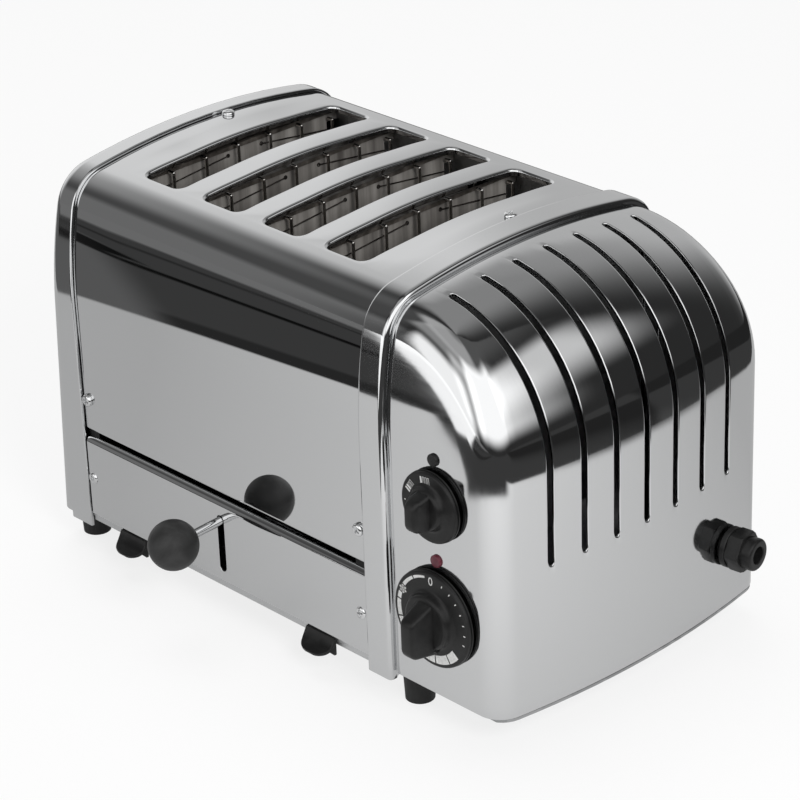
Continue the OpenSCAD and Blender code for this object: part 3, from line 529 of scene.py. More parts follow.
def plated_chassis():
    finish = Finish("plated_chassis", (0.42, 0.43, 0.44), 1.0, 0.4)
    brush = finish.group(BRUSHING, stretch=(90, 90, 12), smooth=0.28, rough=0.5)
    finish.to(brush.outputs["Roughness"], "Roughness")
    spangle = preset(finish.add("ShaderNodeTexVoronoi"), scale=140.0)
    finish.link(finish.object, spangle.inputs["Vector"])
    tone = finish.ramp(
        spangle.outputs["Color"], [(0.0, (0.33, 0.335, 0.34)), (1.0, (0.5, 0.505, 0.51))])
    tree = finish.material.node_tree
    split = finish.add("ShaderNodeSeparateXYZ")
    finish.link(finish.object, split.inputs[0])
    # The outer faces behind the lower panels' gap and slot are darkened with painted shade, which stands
    # in for the shadow in the gap
    outer = soft_step(tree, maths(tree, "ABSOLUTE", split.outputs["Y"]), 0.0905, 0.0925)
    painted_gap_shade = maths(tree, "MULTIPLY", outer, window(tree, split.outputs["Z"], 0.02, 0.079, 0.002))
    # Painted shade: the spangled tone is scaled down where the gap's shadow would fall
    shade_darkened_tone = finish.add("ShaderNodeVectorMath")
    shade_darkened_tone.operation = "SCALE"
    finish.link(tone, shade_darkened_tone.inputs[0])
    finish.link(maths(tree, "MULTIPLY_ADD", painted_gap_shade, -0.95, 1.0), shade_darkened_tone.inputs["Scale"])
    finish.to(shade_darkened_tone.outputs[0], "Base Color")
    return finish.material


def zinc_tray():
    finish = Finish("zinc_tray", (0.6, 0.605, 0.61), 1.0, 0.36)
    brush = finish.group(BRUSHING, stretch=(12, 700, 700), smooth=0.26, rough=0.42)
    finish.to(brush.outputs["Roughness"], "Roughness")
    finish.to(finish.bump(brush.outputs["Height"], 0.01, 0.4), "Normal")
    return finish.material


def bright_wire():
    finish = Finish("bright_wire", (0.75, 0.74, 0.72), 1.0, 0.18)
    heat = finish.noise(30.0, 3.0, (1, 1, 0.5))
    finish.to(finish.ramp(heat, [(0.3, (0.78, 0.77, 0.75)), (0.75, (0.42, 0.38, 0.34))]), "Base Color")
    brush = finish.group(BRUSHING, stretch=(600, 600, 40), smooth=0.1, rough=0.22)
    finish.to(brush.outputs["Roughness"], "Roughness")
    return finish.material


def chrome():
    finish = Finish("plated_bright", (0.72, 0.725, 0.73), 1.0, 0.08)
    care = finish.group(HANDLING, smudge_scale=160.0, grain_scale=2500.0, clean=0.05, smudged=0.16)
    finish.to(care.outputs["Roughness"], "Roughness")
    return finish.material


def mica_sheet():
    finish = Finish("mica_sheet", (0.12, 0.1, 0.085), 0.0, 0.45)
    stain = finish.noise(60.0, 7.0, (1, 2.2, 0.16))
    finish.to(
        finish.ramp(stain, [
            (0.28, (0.1, 0.092, 0.085)), (0.5, (0.24, 0.226, 0.21)), (0.72, (0.42, 0.4, 0.375))]),
        "Base Color")
    flake = finish.noise(260.0, 4.0)
    finish.to(finish.bump(flake, 0.08, 0.4), "Normal")
    finish.to(finish.ramp(flake, [(0.3, (0.3, 0.3, 0.3)), (0.7, (0.6, 0.6, 0.6))]), "Roughness")
    return finish.material


def element_wire():
    finish = Finish("element_wire", (0.06, 0.055, 0.05), 1.0, 0.45)
    oxide = finish.noise(120.0, 4.0)
    tone = finish.ramp(oxide, [(0.3, (0.035, 0.03, 0.028)), (0.75, (0.14, 0.125, 0.115))])
    finish.to(tone, "Base Color")
    finish.to(finish.ramp(oxide, [(0.3, (0.35, 0.35, 0.35)), (0.7, (0.55, 0.55, 0.55))]), "Roughness")
    return finish.material


def scaled_strip():
    finish = Finish("scaled_strip", (0.07, 0.062, 0.055), 0.2, 0.5)
    scale = finish.noise(170.0, 6.0)
    finish.to(
        finish.ramp(scale, [
            (0.3, (0.03, 0.026, 0.022)), (0.55, (0.085, 0.075, 0.066)), (0.8, (0.2, 0.18, 0.16))]),
        "Base Color")
    return finish.material


def moulded_black(name, colour, clean, smudged, grain_scale, depth):
    finish = Finish(name, colour, 0.0, clean).set(specular_ior_level=0.27)
    care = finish.group(
        HANDLING, smudge_scale=70.0, grain_scale=grain_scale, clean=clean, smudged=smudged)
    finish.to(care.outputs["Roughness"], "Roughness")
    pale = tuple(min(1, c * 1.7 + 0.004) for c in colour)
    finish.to(finish.ramp(care.outputs["Mask"], [(0.0, colour), (1.0, pale)]), "Base Color")
    finish.to(finish.bump(care.outputs["Grain"], depth, 0.35), "Normal")
    return finish.material


def lens_red():
    finish = Finish("lens_red", (0.13, 0.022, 0.036), 0.0, 0.38)
    depth = finish.noise(160.0, 2.0)
    tone = finish.ramp(depth, [(0.3, (0.1, 0.016, 0.028)), (0.75, (0.16, 0.028, 0.045))])
    finish.to(tone, "Base Color")
    return finish.material


def white_print():
    finish = Finish("white_print", (0.72, 0.72, 0.71), 0.0, 0.5)
    worn = finish.noise(900.0, 3.0)
    finish.to(finish.ramp(worn, [(0.25, (0.6, 0.6, 0.59)), (0.5, (0.76, 0.76, 0.75))]), "Base Color")
    return finish.material


def pale_housing():
    finish = Finish("pale_housing", (0.6, 0.58, 0.53), 0.0, 0.5)
    tone = finish.noise(60.0, 5.0)
    finish.to(finish.ramp(tone, [(0.3, (0.52, 0.5, 0.45)), (0.7, (0.66, 0.64, 0.59))]), "Base Color")
    finish.to(finish.bump(finish.noise(900.0, 2.0), 0.05, 0.3), "Normal")
    return finish.material


POLISHED = polished_steel()
SATIN = satin_cap()
CHASSIS = plated_chassis()
ZINC = zinc_tray()
WIRE = bright_wire()
CHROME = chrome()
MICA = mica_sheet()
ELEMENT = element_wire()
STRIP = scaled_strip()
KNOB_BLACK = moulded_black("knob_black", (0.009, 0.009, 0.009), 0.34, 0.5, 2200.0, 0.05)
BALL_BLACK = moulded_black("ball_black", (0.021, 0.021, 0.021), 0.42, 0.55, 1600.0, 0.04)
PULL_BLACK = moulded_black("pull_black", (0.008, 0.008, 0.008), 0.3, 0.48, 2400.0, 0.04)
RUBBER = moulded_black("foot_rubber", (0.018, 0.018, 0.018), 0.55, 0.75, 1200.0, 0.08)
LENS = lens_red()
PRINT = white_print()
HOUSING = pale_housing()


# Cross-sections shared by the wrap and the caps

def mixed(a, b, k):
    """A radius between two others, even in curvature."""
    return 1 / ((1 - k) / a + k / b)


def touch(c1, r1, c2, r2):
    """Where two circles cross, on the left of the way from the first centre to the second."""
    d = math.dist(c1, c2)
    ux, uy = (c2[0] - c1[0]) / d, (c2[1] - c1[1]) / d
    a = (d * d + r1 * r1 - r2 * r2) / (2 * d)
    h = math.sqrt(r1 * r1 - a * a)
    return (c1[0] + a * ux - h * uy, c1[1] + a * uy + h * ux)


def section_arcs(k):
    """Centres, radii and meeting angles of a half section: side, corner and crown."""
    side_r, crown_r = mixed(FLAT_R, SIDE_R, k), mixed(BOW_R, CROWN_R, k)
    corner_r = END_CORNER_R + (CORNER_R - END_CORNER_R) * k
    rise = CREST - SHOULDER
    side, crown = (HALF_DEPTH - side_r, 0.0), (0.0, rise - crown_r)
    corner = touch(side, side_r - corner_r, crown, crown_r - corner_r)
    a1 = math.atan2(corner[1] - side[1], corner[0] - side[0])
    a2 = math.atan2(corner[1] - crown[1], corner[0] - crown[0])
    return (side, side_r), (corner, corner_r), (crown, crown_r), a1, a2


def half_columns(k, inset, ys, rest, bends, leans):
    """Points (y, w) from mid-crown down to the shoulder; w is the distance out from the shoulder."""
    (side, side_r), (corner, corner_r), (crown, crown_r), a1, a2 = section_arcs(k)
    base = crown_r - CAP_DROP
    angles = [math.acos(y / base) for y in ys]
    last = angles[-1]
    angles += [last + (a2 - last) * i / rest for i in range(1, rest + 1)]
    points = [on_circle(crown, crown_r - inset, a) for a in angles]
    angles = [a2 + (a1 - a2) * i / bends for i in range(1, bends + 1)]
    points += [on_circle(corner, corner_r - inset, a) for a in angles]
    angles = [a1 * (1 - i / leans) for i in range(1, leans + 1)]
    points += [on_circle(side, side_r - inset, a) for a in angles]
    return points


def both_halves(half):
    return [(-y, w) for y, w in reversed(half[1:])] + half


def grid_faces(rows, start, skip=()):
    """Faces between rows of points that begin at start, apart from the cells to skip."""
    columns = len(rows[0])
    faces = []
    for i in range(len(rows) - 1):
        for j in range(columns - 1):
            if (i, j) not in skip:
                a = start + i * columns + j
                faces.append((a, a + columns, a + columns + 1, a + 1))
    return faces


# End caps

# Stations along X, each with how far the rim stands proud of the wrap there
RIM_START = [
    (WRAP_HALF, 0.1), (WRAP_HALF, 1.1), (WRAP_HALF + 0.18, 1.65), (WRAP_HALF + 0.6, RIM_PROUD),
    (WRAP_HALF + 1.2, RIM_PROUD)]
RIM_FLAT = 119.8
WALL_ZS = (131.0, 119.0, 106.0, VENT_BOTTOM, 88.0, 72.0, 55.0, 38.0, 24.0)


def ringed(x, proud, low, over, lean=0.0):
    """One line round the body at x: the section over the top, and both walls down to the lower edge."""
    wall = [(HALF_DEPTH + proud, z) for z in WALL_ZS + (low,)]
    line = [(-y, z) for y, z in reversed(wall)] + [(y, SHOULDER + w) for y, w in over] + wall
    return [(x + lean * LEFT_LEAN * (SHOULDER - z), y, z) for y, z in line]


def vent_columns():
    """Lines over the dome at y >= 0: through each vent's round end, and beside it for even bars."""
    across = (0.0, 0.9, 1.56, VENT_HALF_W)
    beside = (2.6, 7.0)
    last = 64.5
    ys = {round(y + sign * dy, 3) for y in VENT_YS for dy in across + beside for sign in (-1, 1)}
    return sorted(y for y in ys if 0 <= y <= last)


def end_cap():
    """The right-hand cap: rim, dome and skirt, lofted on one set of lines, with the vents left open."""
    ys = vent_columns()

    def section(k, inset):
        return both_halves(half_columns(k, inset, ys, rest=4, bends=12, leans=7))

    plan = section(0.0, CAP_DROP)
    mid = len(plan) // 2
    signed = [-y for y in reversed(ys[1:])] + ys
    # How far a vent's round end reaches past its last row, for each line that the vent takes in
    vented = {}
    for n, y in enumerate(signed):
        j = mid - (len(ys) - 1) + n
        for vy in VENT_YS:
            if abs(y - vy) < VENT_HALF_W + 0.01:
                vented[j] = math.sqrt(max(0.0, VENT_HALF_W ** 2 - (y - vy) ** 2))
    open_gap = {j for j in vented if j + 1 in vented and abs(plan[j + 1][0] - plan[j][0]) < 1.2}
    drops = (SHOULDER,) + WALL_ZS + (CAP_BOTTOM,)

    stations = RIM_START + [(RIM_FLAT, RIM_PROUD)]
    stations += arc((RIM_OUTER - RIM_BEAD_R, RIM_PROUD - RIM_BEAD_R), RIM_BEAD_R, 90, 0, 7)
    stations += [(RIM_OUTER, -GROOVE_DROP), (GROOVE_END, -GROOVE_DROP)]
    stations += [(GROOVE_END, -CAP_DROP), (DOME_X, -CAP_DROP)]
    rim_rows = [
        ringed(x, proud, RIM_BOTTOM if x < GROOVE_END else CAP_BOTTOM, section(1.0, -proud))
        for x, proud in stations]

    vent_rows = 18
    angles = [90.0, 86.0, VENT_TOP_ANGLE]
    angles += [VENT_TOP_ANGLE * (1 - i / vent_rows) for i in range(1, vent_rows + 1)]
    dome_rows = []
    for angle in angles:
        a = math.radians(angle)
        row = []
        for j, (y, w) in enumerate(section(math.sin(a) ** 2, CAP_DROP)):
            turn = a + (vented[j] / w if angle == VENT_TOP_ANGLE and j in vented else 0.0)
            row.append((DOME_X + w * math.cos(turn), y, SHOULDER + w * math.sin(turn)))
        dome_rows.append(row)
    dome_skip = {(i, j) for i in range(2, len(angles) - 1) for j in open_gap}

    skirt_rows = []
    for z in drops:
        row = []
        for j, (y, w) in enumerate(plan):
            dip = vented[j] if z == VENT_BOTTOM and j in vented else 0.0
            row.append((DOME_X + w, y, z - dip))
        skirt_rows.append(row)
    skirt_skip = {(i, j) for i in range(drops.index(VENT_BOTTOM)) for j in open_gap}

    points, faces = [], []
    for rows, skip in ((rim_rows, ()), (dome_rows, dome_skip), (skirt_rows, skirt_skip)):
        faces += grid_faces(rows, len(points), skip)
        points += all_points(rows)
    cap = weld(drawn("right_cap_shell", points, faces), outwards=False)
    open_mesh(cap)
    bpy.ops.mesh.dissolve_degenerate(threshold=0.00001)
    bpy.ops.mesh.delete_loose()
    close_mesh()
    thicken(cap, CAP_WALL)
    soften(cap, 0.5, 50)
    return smooth(cap, 40)


def flat_end():
    """The left-hand cap, drawn on the right: its rim rolls over into a plain leaning face."""

    def section(proud):
        return both_halves(half_columns(1.0, -proud, [0, 16, 32, 48, 62], rest=3, bends=14, leans=8))

    upright, roll_x = RIM_START[-1][0], LEFT_X - LEFT_EDGE_R
    rows = [ringed(x, proud, RIM_BOTTOM, section(proud)) for x, proud in RIM_START]
    for x, low in (
            (116.0, RIM_BOTTOM), (117.8, RIM_BOTTOM), (118.0, CAP_BOTTOM), (roll_x - 0.6, CAP_BOTTOM)):
        lean = (x - upright) / (roll_x - upright)
        rows.append(ringed(x, RIM_PROUD, low, section(RIM_PROUD), lean))
    for x, proud in arc((roll_x, RIM_PROUD - LEFT_EDGE_R), LEFT_EDGE_R, 90, 0, 12):
        rows.append(ringed(x, proud, CAP_BOTTOM, section(proud), 1.0))
    inset = RIM_PROUD - LEFT_EDGE_R - 1.0
    rows.append(ringed(LEFT_X, inset, CAP_BOTTOM, section(inset), 1.0))
    faces = grid_faces(rows, 0)
    columns = len(rows[0])
    last = (len(rows) - 1) * columns
    faces.append(tuple(last + j for j in reversed(range(columns))))
    end = weld(drawn("flat_end", all_points(rows), faces), outwards=False)
    thicken(end, CAP_WALL)
    soften(end, 0.35, 60)
    return smooth(end, 40)


right_cap = end_cap()
left_cap = mirrored(flat_end(), "left_cap_shell", 0)
bpy.data.objects.remove(bpy.data.objects["flat_end"])
finished(right_cap, SATIN, "body", "cap_metal", "right_end_cap")
finished(left_cap, SATIN, "body", "cap_metal", "left_end_cap")


# Wrap and panels

def pierced_rows(xs, ts, holes, at):
    """Points and faces of a sheet over grid lines, with round-cornered holes between those lines.

    A hole is (x0, x1, t0, t1, r). Each hole's edge is returned too, as places with their way inwards.
    """
    steps = 6
    points, faces, edges = [], [], []
    index = {}

    def spot(x, t):
        key = (round(x, 4), round(t, 4))
        if key not in index:
            index[key] = len(points)
            points.append(at(x, t))
        return index[key]

    for x0, x1 in zip(xs, xs[1:]):
        for t0, t1 in zip(ts, ts[1:]):
            x, t = (x0 + x1) / 2, (t0 + t1) / 2
            cell = [(x0, t0), (x1, t0), (x1, t1), (x0, t1)]
            hole = next((h for h in holes if h[0] < x < h[1] and h[2] < t < h[3]), None)
            if hole is None:
                faces.append([spot(*c) for c in cell])
                continue
            hx0, hx1, ht0, ht1, r = hole
            if (hx0 + r < x < hx1 - r) or (ht0 + r < t < ht1 - r):
                continue
            cx = hx0 + r if x < hx0 + r else hx1 - r
            ct = ht0 + r if t < ht0 + r else ht1 - r
            sx, st = (-1 if x < cx else 1), (-1 if t < ct else 1)
            bend = [(cx + sx * dx, ct + st * dt) for dx, dt in arc((0, 0), r, 0, 90, steps)]
            tip = (cx + sx * r, ct + st * r)
            for p, q in zip(bend, bend[1:]):
                ring = [tip, q, p] if sx * st > 0 else [tip, p, q]
                faces.append([spot(*c) for c in ring])
    for hx0, hx1, ht0, ht1, r in holes:
        loop = []
        inner = [t for t in ts if ht0 + r + 0.01 < t < ht1 - r - 0.01]
        across = [x for x in xs if hx0 + r + 0.01 < x < hx1 - r - 0.01]
        corners = [
            (hx1 - r, ht1 - r, 0, [(x, ht1, 0, -1) for x in reversed(across)]),
            (hx0 + r, ht1 - r, 90, [(hx0, t, 1, 0) for t in reversed(inner)]),
            (hx0 + r, ht0 + r, 180, [(x, ht0, 0, 1) for x in across]),
            (hx1 - r, ht0 + r, 270, [(hx1, t, -1, 0) for t in inner])]
        for cx, ct, a0, straight in corners:
            for i in range(steps + 1):
                a = math.radians(a0 + 90 * i / steps)
                loop.append((cx + r * math.cos(a), ct + r * math.sin(a), -math.cos(a), -math.sin(a)))
            loop += straight
        edges.append(loop)
    return points, faces, edges


def eased(value, low, high):
    """From 0 at low to 1 at high, smooth at both ends."""
    t = min(1.0, max(0.0, (value - low) / (high - low)))
    return t * t * (3 - 2 * t)


def crown_height(x, y):
    """Height of the wrap's top; the bars between the slots lie a little lower than the rest."""
    _, (corner, corner_r), (crown, crown_r), _, a2 = section_arcs(1.0)
    y = abs(y)
    sag = SLOT_SAG * eased(abs(x), *SAG_XS) * eased(y, *SAG_YS)
    if y <= crown_r * math.cos(a2):
        return SHOULDER + crown[1] + math.sqrt(crown_r ** 2 - y * y) - sag
    return SHOULDER + corner[1] + math.sqrt(corner_r ** 2 - (y - corner[0]) ** 2) - sag


def wrap_sheet():
    """The polished wrap: one sheet over front, top and back, with rolled slots and turned-in edges."""
    roll = SLOT_ROLL
    half_w, half_len, r = SLOT_HALF_W + roll, SLOT_HALF_LEN + roll, SLOT_R + roll
    straight = half_len - r
    top_ts = [-half_len] + [straight * (i / 14 - 1) for i in range(29)] + [half_len]
    xs = [-x for x in reversed(WRAP_EDGE_XS)]
    for x in SLOT_XS:
        xs += [x - half_w, x - half_w + r, x + half_w - r, x + half_w]
    xs += WRAP_EDGE_XS
    holes = [(x - half_w, x + half_w, -half_len, half_len, r) for x in SLOT_XS]
    points, faces, edges = pierced_rows(xs, top_ts, holes, lambda x, y: (x, y, crown_height(x, y)))

    turns = [math.radians(10 * i) for i in range(10)]
    lip = [(roll * math.sin(a), roll * (1 - math.cos(a))) for a in turns] + [(roll, SLOT_DEEP)]
    for loop in edges:
        rows = [
            [(x + nx * inward, y + ny * inward, crown_height(x, y + ny * inward) - down)
             for x, y, nx, ny in loop]
            for inward, down in lip]
        n = len(loop)
        start = len(points)
        points += all_points(rows)
        for i in range(len(rows) - 1):
            for j in range(n):
                a, b = start + i * n + j, start + i * n + (j + 1) % n
                faces.append((a, b, b + n, a + n))

    (side, side_r), (corner, corner_r), (crown, crown_r), a1, a2 = section_arcs(1.0)
    # Each flank goes from the slots' ends over the corner, down the side and in at the lower edge
    first = math.acos(half_len / crown_r)
    flank = [on_circle(crown, crown_r, first + (a2 - first) * i / 4) for i in range(5)]
    flank += [on_circle(corner, corner_r, a2 + (a1 - a2) * i / 24) for i in range(1, 25)]
    flank += [on_circle(side, side_r, a1 * (1 - i / 16)) for i in range(1, 17)]
    flank = [(y, SHOULDER + w) for y, w in flank]
    flank += [(HALF_DEPTH, z) for z in WRAP_SIDE_ZS + (WRAP_BOTTOM + 1.2,)]
    flank += [(HALF_DEPTH - 0.35, WRAP_BOTTOM + 0.35), (HALF_DEPTH - 1.2, WRAP_BOTTOM)]
    flank.append((HALF_DEPTH - PANEL_SHELF, WRAP_BOTTOM))
    fixed, edge = -WRAP_EDGE_XS[2], -WRAP_EDGE_XS[-1]

    def seam(x, z):
        """The left edge draws back below the shoulder and leaves a joint line beside the rim."""
        back = 1 - (LEFT_SEAM - fixed) / (edge - fixed)
        return x if x >= fixed else fixed + (x - fixed) * (1 - back * eased(z, *SEAM_ZS))

    for sign in (1, -1):
        rows = [[(seam(x, z), sign * y, z) for x in xs] for y, z in flank]
        start = len(points)
        points += all_points(rows)
        for face in grid_faces(rows, start):
            faces.append(tuple(reversed(face)) if sign > 0 else face)
    wrap = weld(drawn("wrap_sheet", points, faces), outwards=False)
    thicken(wrap, WRAP_WALL)
    return smooth(wrap, 40)


def lower_panel(name, with_slot):
    """A lower panel with a rolled top lip and a turned-in foot; the front one has the lever's slot."""
    face = -HALF_DEPTH
    lip = [(face + PANEL_SHELF, PANEL_TOP)]
    lip += arc((face + PANEL_ROLL, PANEL_TOP - PANEL_ROLL), PANEL_ROLL, 90, 180, 12)
    foot = [(face, PANEL_BOTTOM), (face + PANEL_FOOT, PANEL_BOTTOM)]
    line = lip + [(face, z) for z in PANEL_ZS] + foot
    rows = [[(x, y, z) for x in PANEL_XS] for y, z in line]
    faces = [tuple(reversed(f)) for f in grid_faces(rows, 0)]
    panel = weld(drawn(name, all_points(rows), faces), outwards=False)
    thicken(panel, SHEET)
    if with_slot:
        low, high = LEVER_SLOT_ZS
        outline = arc((0, high), LEVER_SLOT_HALF_W, 0, 180, 12)
        outline += arc((0, low), LEVER_SLOT_HALF_W, 180, 360, 12)
        cut(panel, extruded("slot_cutter", outline, 1, face - 5, face + 5))
    soften(panel, 0.2, 50)
    return smooth(panel, 20)


finished(wrap_sheet(), POLISHED, "body", "polished_steel", "wrap")
front_panel = lower_panel("front_panel", True)
finished(front_panel, POLISHED, "body", "polished_steel", "lower_front_panel")
back_panel = mirrored(lower_panel("plain_panel", False), "back_panel", 1)
bpy.data.objects.remove(bpy.data.objects["plain_panel"])
finished(back_panel, POLISHED, "body", "polished_steel", "lower_back_panel")


# Screws

def pan_screw():
    """A pan head with a cross recess, seated on z = 0."""
    shank_r, head_r = 1.9, 3.4
    profile = [(0, -5), (shank_r, -5), (shank_r, 0), (head_r, 0), (head_r, 0.6)]
    profile += arc((2.0, 0.75), 1.4, 5, 80, 6) + [(1.0, 2.2), (0, 2.25)]
    head = turned("pan_screw", profile, 40)
    for turn in (0, 90):
        blade = extruded("blade", [(-1.9, 0.8), (-2.2, 3.4), (2.2, 3.4), (1.9, 0.8)], 1, -0.4, 0.4)
        place(blade, rotated(turn + 20, "Z"))
        cut(head, blade)
    soften(head, 0.12, 45)
    return smooth(head, 40)


screw = pan_screw()
heads = []
for side in (-1, 1):
    out = rotated(-90 * side, "X")
    for x in (-SCREW_X, SCREW_X):
        for z in SCREW_ZS:
            spin = rotated((x * 3 + z * 7) % 90, "Z")
            seat = moved(x, side * SCREW_SEAT_Y, z)
            heads.append(copied(screw, "head", seat @ out @ spin))
finished(joined("panel_screw_heads", heads), CHROME, "body", "screw_chrome", "panel_screws")
heads = [
    copied(screw, "head", moved(x, TOP_SCREW_Y, crown_height(x, TOP_SCREW_Y) + 0.05))
    for x in (-SCREW_X, SCREW_X)]
finished(joined("top_screw_heads", heads), CHROME, "body", "screw_chrome", "top_screws")
bpy.data.objects.remove(screw)


# Knobs

def knob(name, r, skirt, hub_r, hub_h, foot, edge, wing_t, out):
    """A stepped skirt and a hub turned on the shaft, with a wing across them.

    Z points away from the cap. Foot and edge are the wing's ends at the skirt and at its outer edge.
    """
    fillet, bend = 2.2, 4.6
    profile = [(0, 0), (r - 0.7, 0), (r, 0.6), (r, 1.25)]
    profile += [(r - 0.75, 1.5), (r - 0.75, 1.75), (r - 0.2, 1.95)]
    profile += arc((r - 1.3, skirt - 1.1), 1.1, 0, 90, 6)
    profile += [(r - 2.6, skirt), (hub_r + 2.4, skirt)]
    profile += [
        (hub_r + fillet * (1 - math.sin(a)), skirt + fillet * (1 - math.cos(a)))
        for a in (0.4, 0.8, 1.2)]
    profile += arc((hub_r - 1.8, hub_h - 1.8), 1.8, 12, 90, 5) + [(0, hub_h + 0.2)]
    base = smooth(turned(name + "_base", profile, 96), 32)
    outline = [(foot[1], skirt - 0.4)]
    outline += arc((edge[1] - bend, out - bend), bend, 18, 90, 5)
    outline += arc((edge[0] + bend, out - bend), bend, 90, 172, 5)
    outline += [(foot[0], skirt - 0.4)]
    wing = extruded(name + "_wing", outline, 0, -wing_t / 2, wing_t / 2)
    open_mesh(wing)
    pick(wing, "VERT", lambda p, v: p.z > hub_h)
    bpy.ops.transform.resize(value=(0.82, 1, 1), center_override=(0, 0, 0))
    close_mesh()
    soften(wing, 2.2, 60, 5)
    smooth(wing, 50)
    return joined(name, [base, wing])


def dial_place(z):
    """Lays a dial made about Z against the front of the cap."""
    return moved(DIAL_X, DIAL_BACK_Y, z) @ rotated(90, "X")


def band(name, r0, r1, r2, a0, a1, steps, z):
    """A printed arc from a0 to a1 degrees whose inner edge runs from r0 to r1; its outer edge is r2."""
    points, faces = [], []
    for i in range(steps + 1):
        f = i / steps
        a = math.radians(a0 + (a1 - a0) * f)
        for r in (r0 + (r1 - r0) * f, r2):
            points.append((r * math.cos(a), r * math.sin(a), z))
    for i in range(steps):
        quad = (2 * i, 2 * i + 1, 2 * i + 3, 2 * i + 2)
        faces.append(quad if a1 > a0 else tuple(reversed(quad)))
    return drawn(name, points, faces)


def bar(name, x0, x1, y0, y1, z):
    return drawn(name, [(x0, y0, z), (x1, y0, z), (x1, y1, z), (x0, y1, z)], [(0, 1, 2, 3)])


def frame_bar(name, x0, x1, y0, y1, z, t):
    """The four sides of an open box, each t wide."""
    return [
        bar(name, x0, x1, y0, y0 + t, z), bar(name, x0, x1, y1 - t, y1, z),
        bar(name, x0, x0 + t, y0 + t, y1 - t, z), bar(name, x1 - t, x1, y0 + t, y1 - t, z)]


def at_angle(parts, r, angle):
    """Puts a sign on a dial at an angle, with its head outwards."""
    for part in parts:
        place(part, rotated(angle - 90, "Z") @ moved(0, r, 0))
    return parts


def numeral(text, size, z):
    """A plain figure as a flat mesh about its own middle."""
    clear_bench()
    bpy.ops.object.text_add()
    obj = on_bench()
    obj.data.body = text
    obj.data.size = size * MM
    obj.data.align_x = "CENTER"
    obj.data.align_y = "CENTER"
    bpy.ops.object.convert(target="MESH")
    obj = on_bench()
    place(obj, moved(0, 0, z))
    return [obj]


def star_sign(z):
    """A six-armed star with a forked tip on each arm."""
    arms = [place(bar("star", -0.38, 0.38, -2.4, 2.4, z), rotated(60 * i, "Z")) for i in range(3)]
    for i in range(6):
        for lean in (-45, 45):
            fork = rotated(60 * i, "Z") @ moved(0, 1.2, 0) @ rotated(lean, "Z")
            arms.append(place(bar("star", -0.24, 0.24, 0.0, 1.0, z), fork))
    return arms


def timer_print():
    """The timer's widening scale in steps, its nought and star, and the ticks on the other side."""
    z = 3.86
    outer_r = 22.7
    steps = [98, 121, 146, 170, 195, 222, 250, 276, 302, 322]
    star_step, star_room = 146, 12

    def inner_r(a):
        return 21.6 - 4.0 * (a - steps[0]) / (steps[-1] - steps[0])

    parts = []
    for a0, a1 in zip(steps, steps[1:]):
        if a0 == star_step:
            a0 += star_room
        parts.append(band("minutes", inner_r(a0), inner_r(a1), outer_r, a0 + 1.0, a1 - 1.0, 6, z))
    parts += at_angle(numeral("0", 6.2, z), 20.6, 89)
    parts += at_angle(star_sign(z), 20.9, 152)
    for i in range(7):
        a = 70 - 14 * i
        parts.append(band("ticks", 21.4, 21.4, outer_r, a, a - 1.4, 1, z))
    return joined("timer_print", parts)


def selector_print():
    """Two signs of four slots, with as many filled as are heated, and a dot."""
    z = 3.46
    half_h, pitch = 2.1, 1.6
    parts = []
    for angle, filled in ((97, 1), (147, 2)):
        icon = []
        for i in range(4):
            x = (i - 1.5) * pitch
            if i < filled:
                icon.append(bar("slots", x - 0.55, x + 0.55, -half_h, half_h, z))
            else:
                icon += frame_bar("slots", x - 0.6, x + 0.6, -half_h, half_h, z, 0.26)
        parts += at_angle(icon, 13.6, angle)
    dot = [band("dot", 0.0, 0.0, 0.45, 0, 360, 12, z)]
    parts += at_angle(dot, 15.2, 182)
    return joined("selector_print", parts)


timer_knob = knob(
    "timer_dial", r=25.0, skirt=3.8, hub_r=14.0, hub_h=8.0,
    foot=(-17, 13), edge=(-15, 7), wing_t=11.0, out=20.5)
selector_knob = knob(
    "selector_dial", r=18.2, skirt=3.4, hub_r=10.6, hub_h=7.0,
    foot=(-10.5, 10.5), edge=(-9, 8), wing_t=9.5, out=16.0)
for piece, z, body, node in (
        (timer_knob, TIMER_Z, "timer", "timer_knob"),
        (selector_knob, SELECTOR_Z, "selector", "selector_knob")):
    place(piece, dial_place(z))
    finished(piece, KNOB_BLACK, body, "black_plastic", node)
for piece, z, body in ((timer_print(), TIMER_Z, "timer"), (selector_print(), SELECTOR_Z, "selector")):
    place(piece, dial_place(z))
    finished(piece, PRINT, body, "unit_plastic")


# Lever ball

def lever_ball():
    """A moulded ball with a raised parting line."""
    clear_bench()
    bpy.ops.mesh.primitive_uv_sphere_add(segments=72, ring_count=48, radius=BALL_R * MM)
    ball = on_bench()
    ball.name = "lever_ball_grip"
    open_mesh(ball)
    pick(ball, "VERT", lambda p, v: abs(p.z) < 0.1)
    bpy.ops.transform.resize(value=(1.004, 1.004, 1), center_override=(0, 0, 0))
    close_mesh()
    place(ball, moved(*BALL) @ rotated(72, "Y") @ rotated(12, "X"))
    return smooth(ball, 60)


finished(lever_ball(), BALL_BLACK, "lever", "black_plastic", "lever_ball")


# Tray pulls

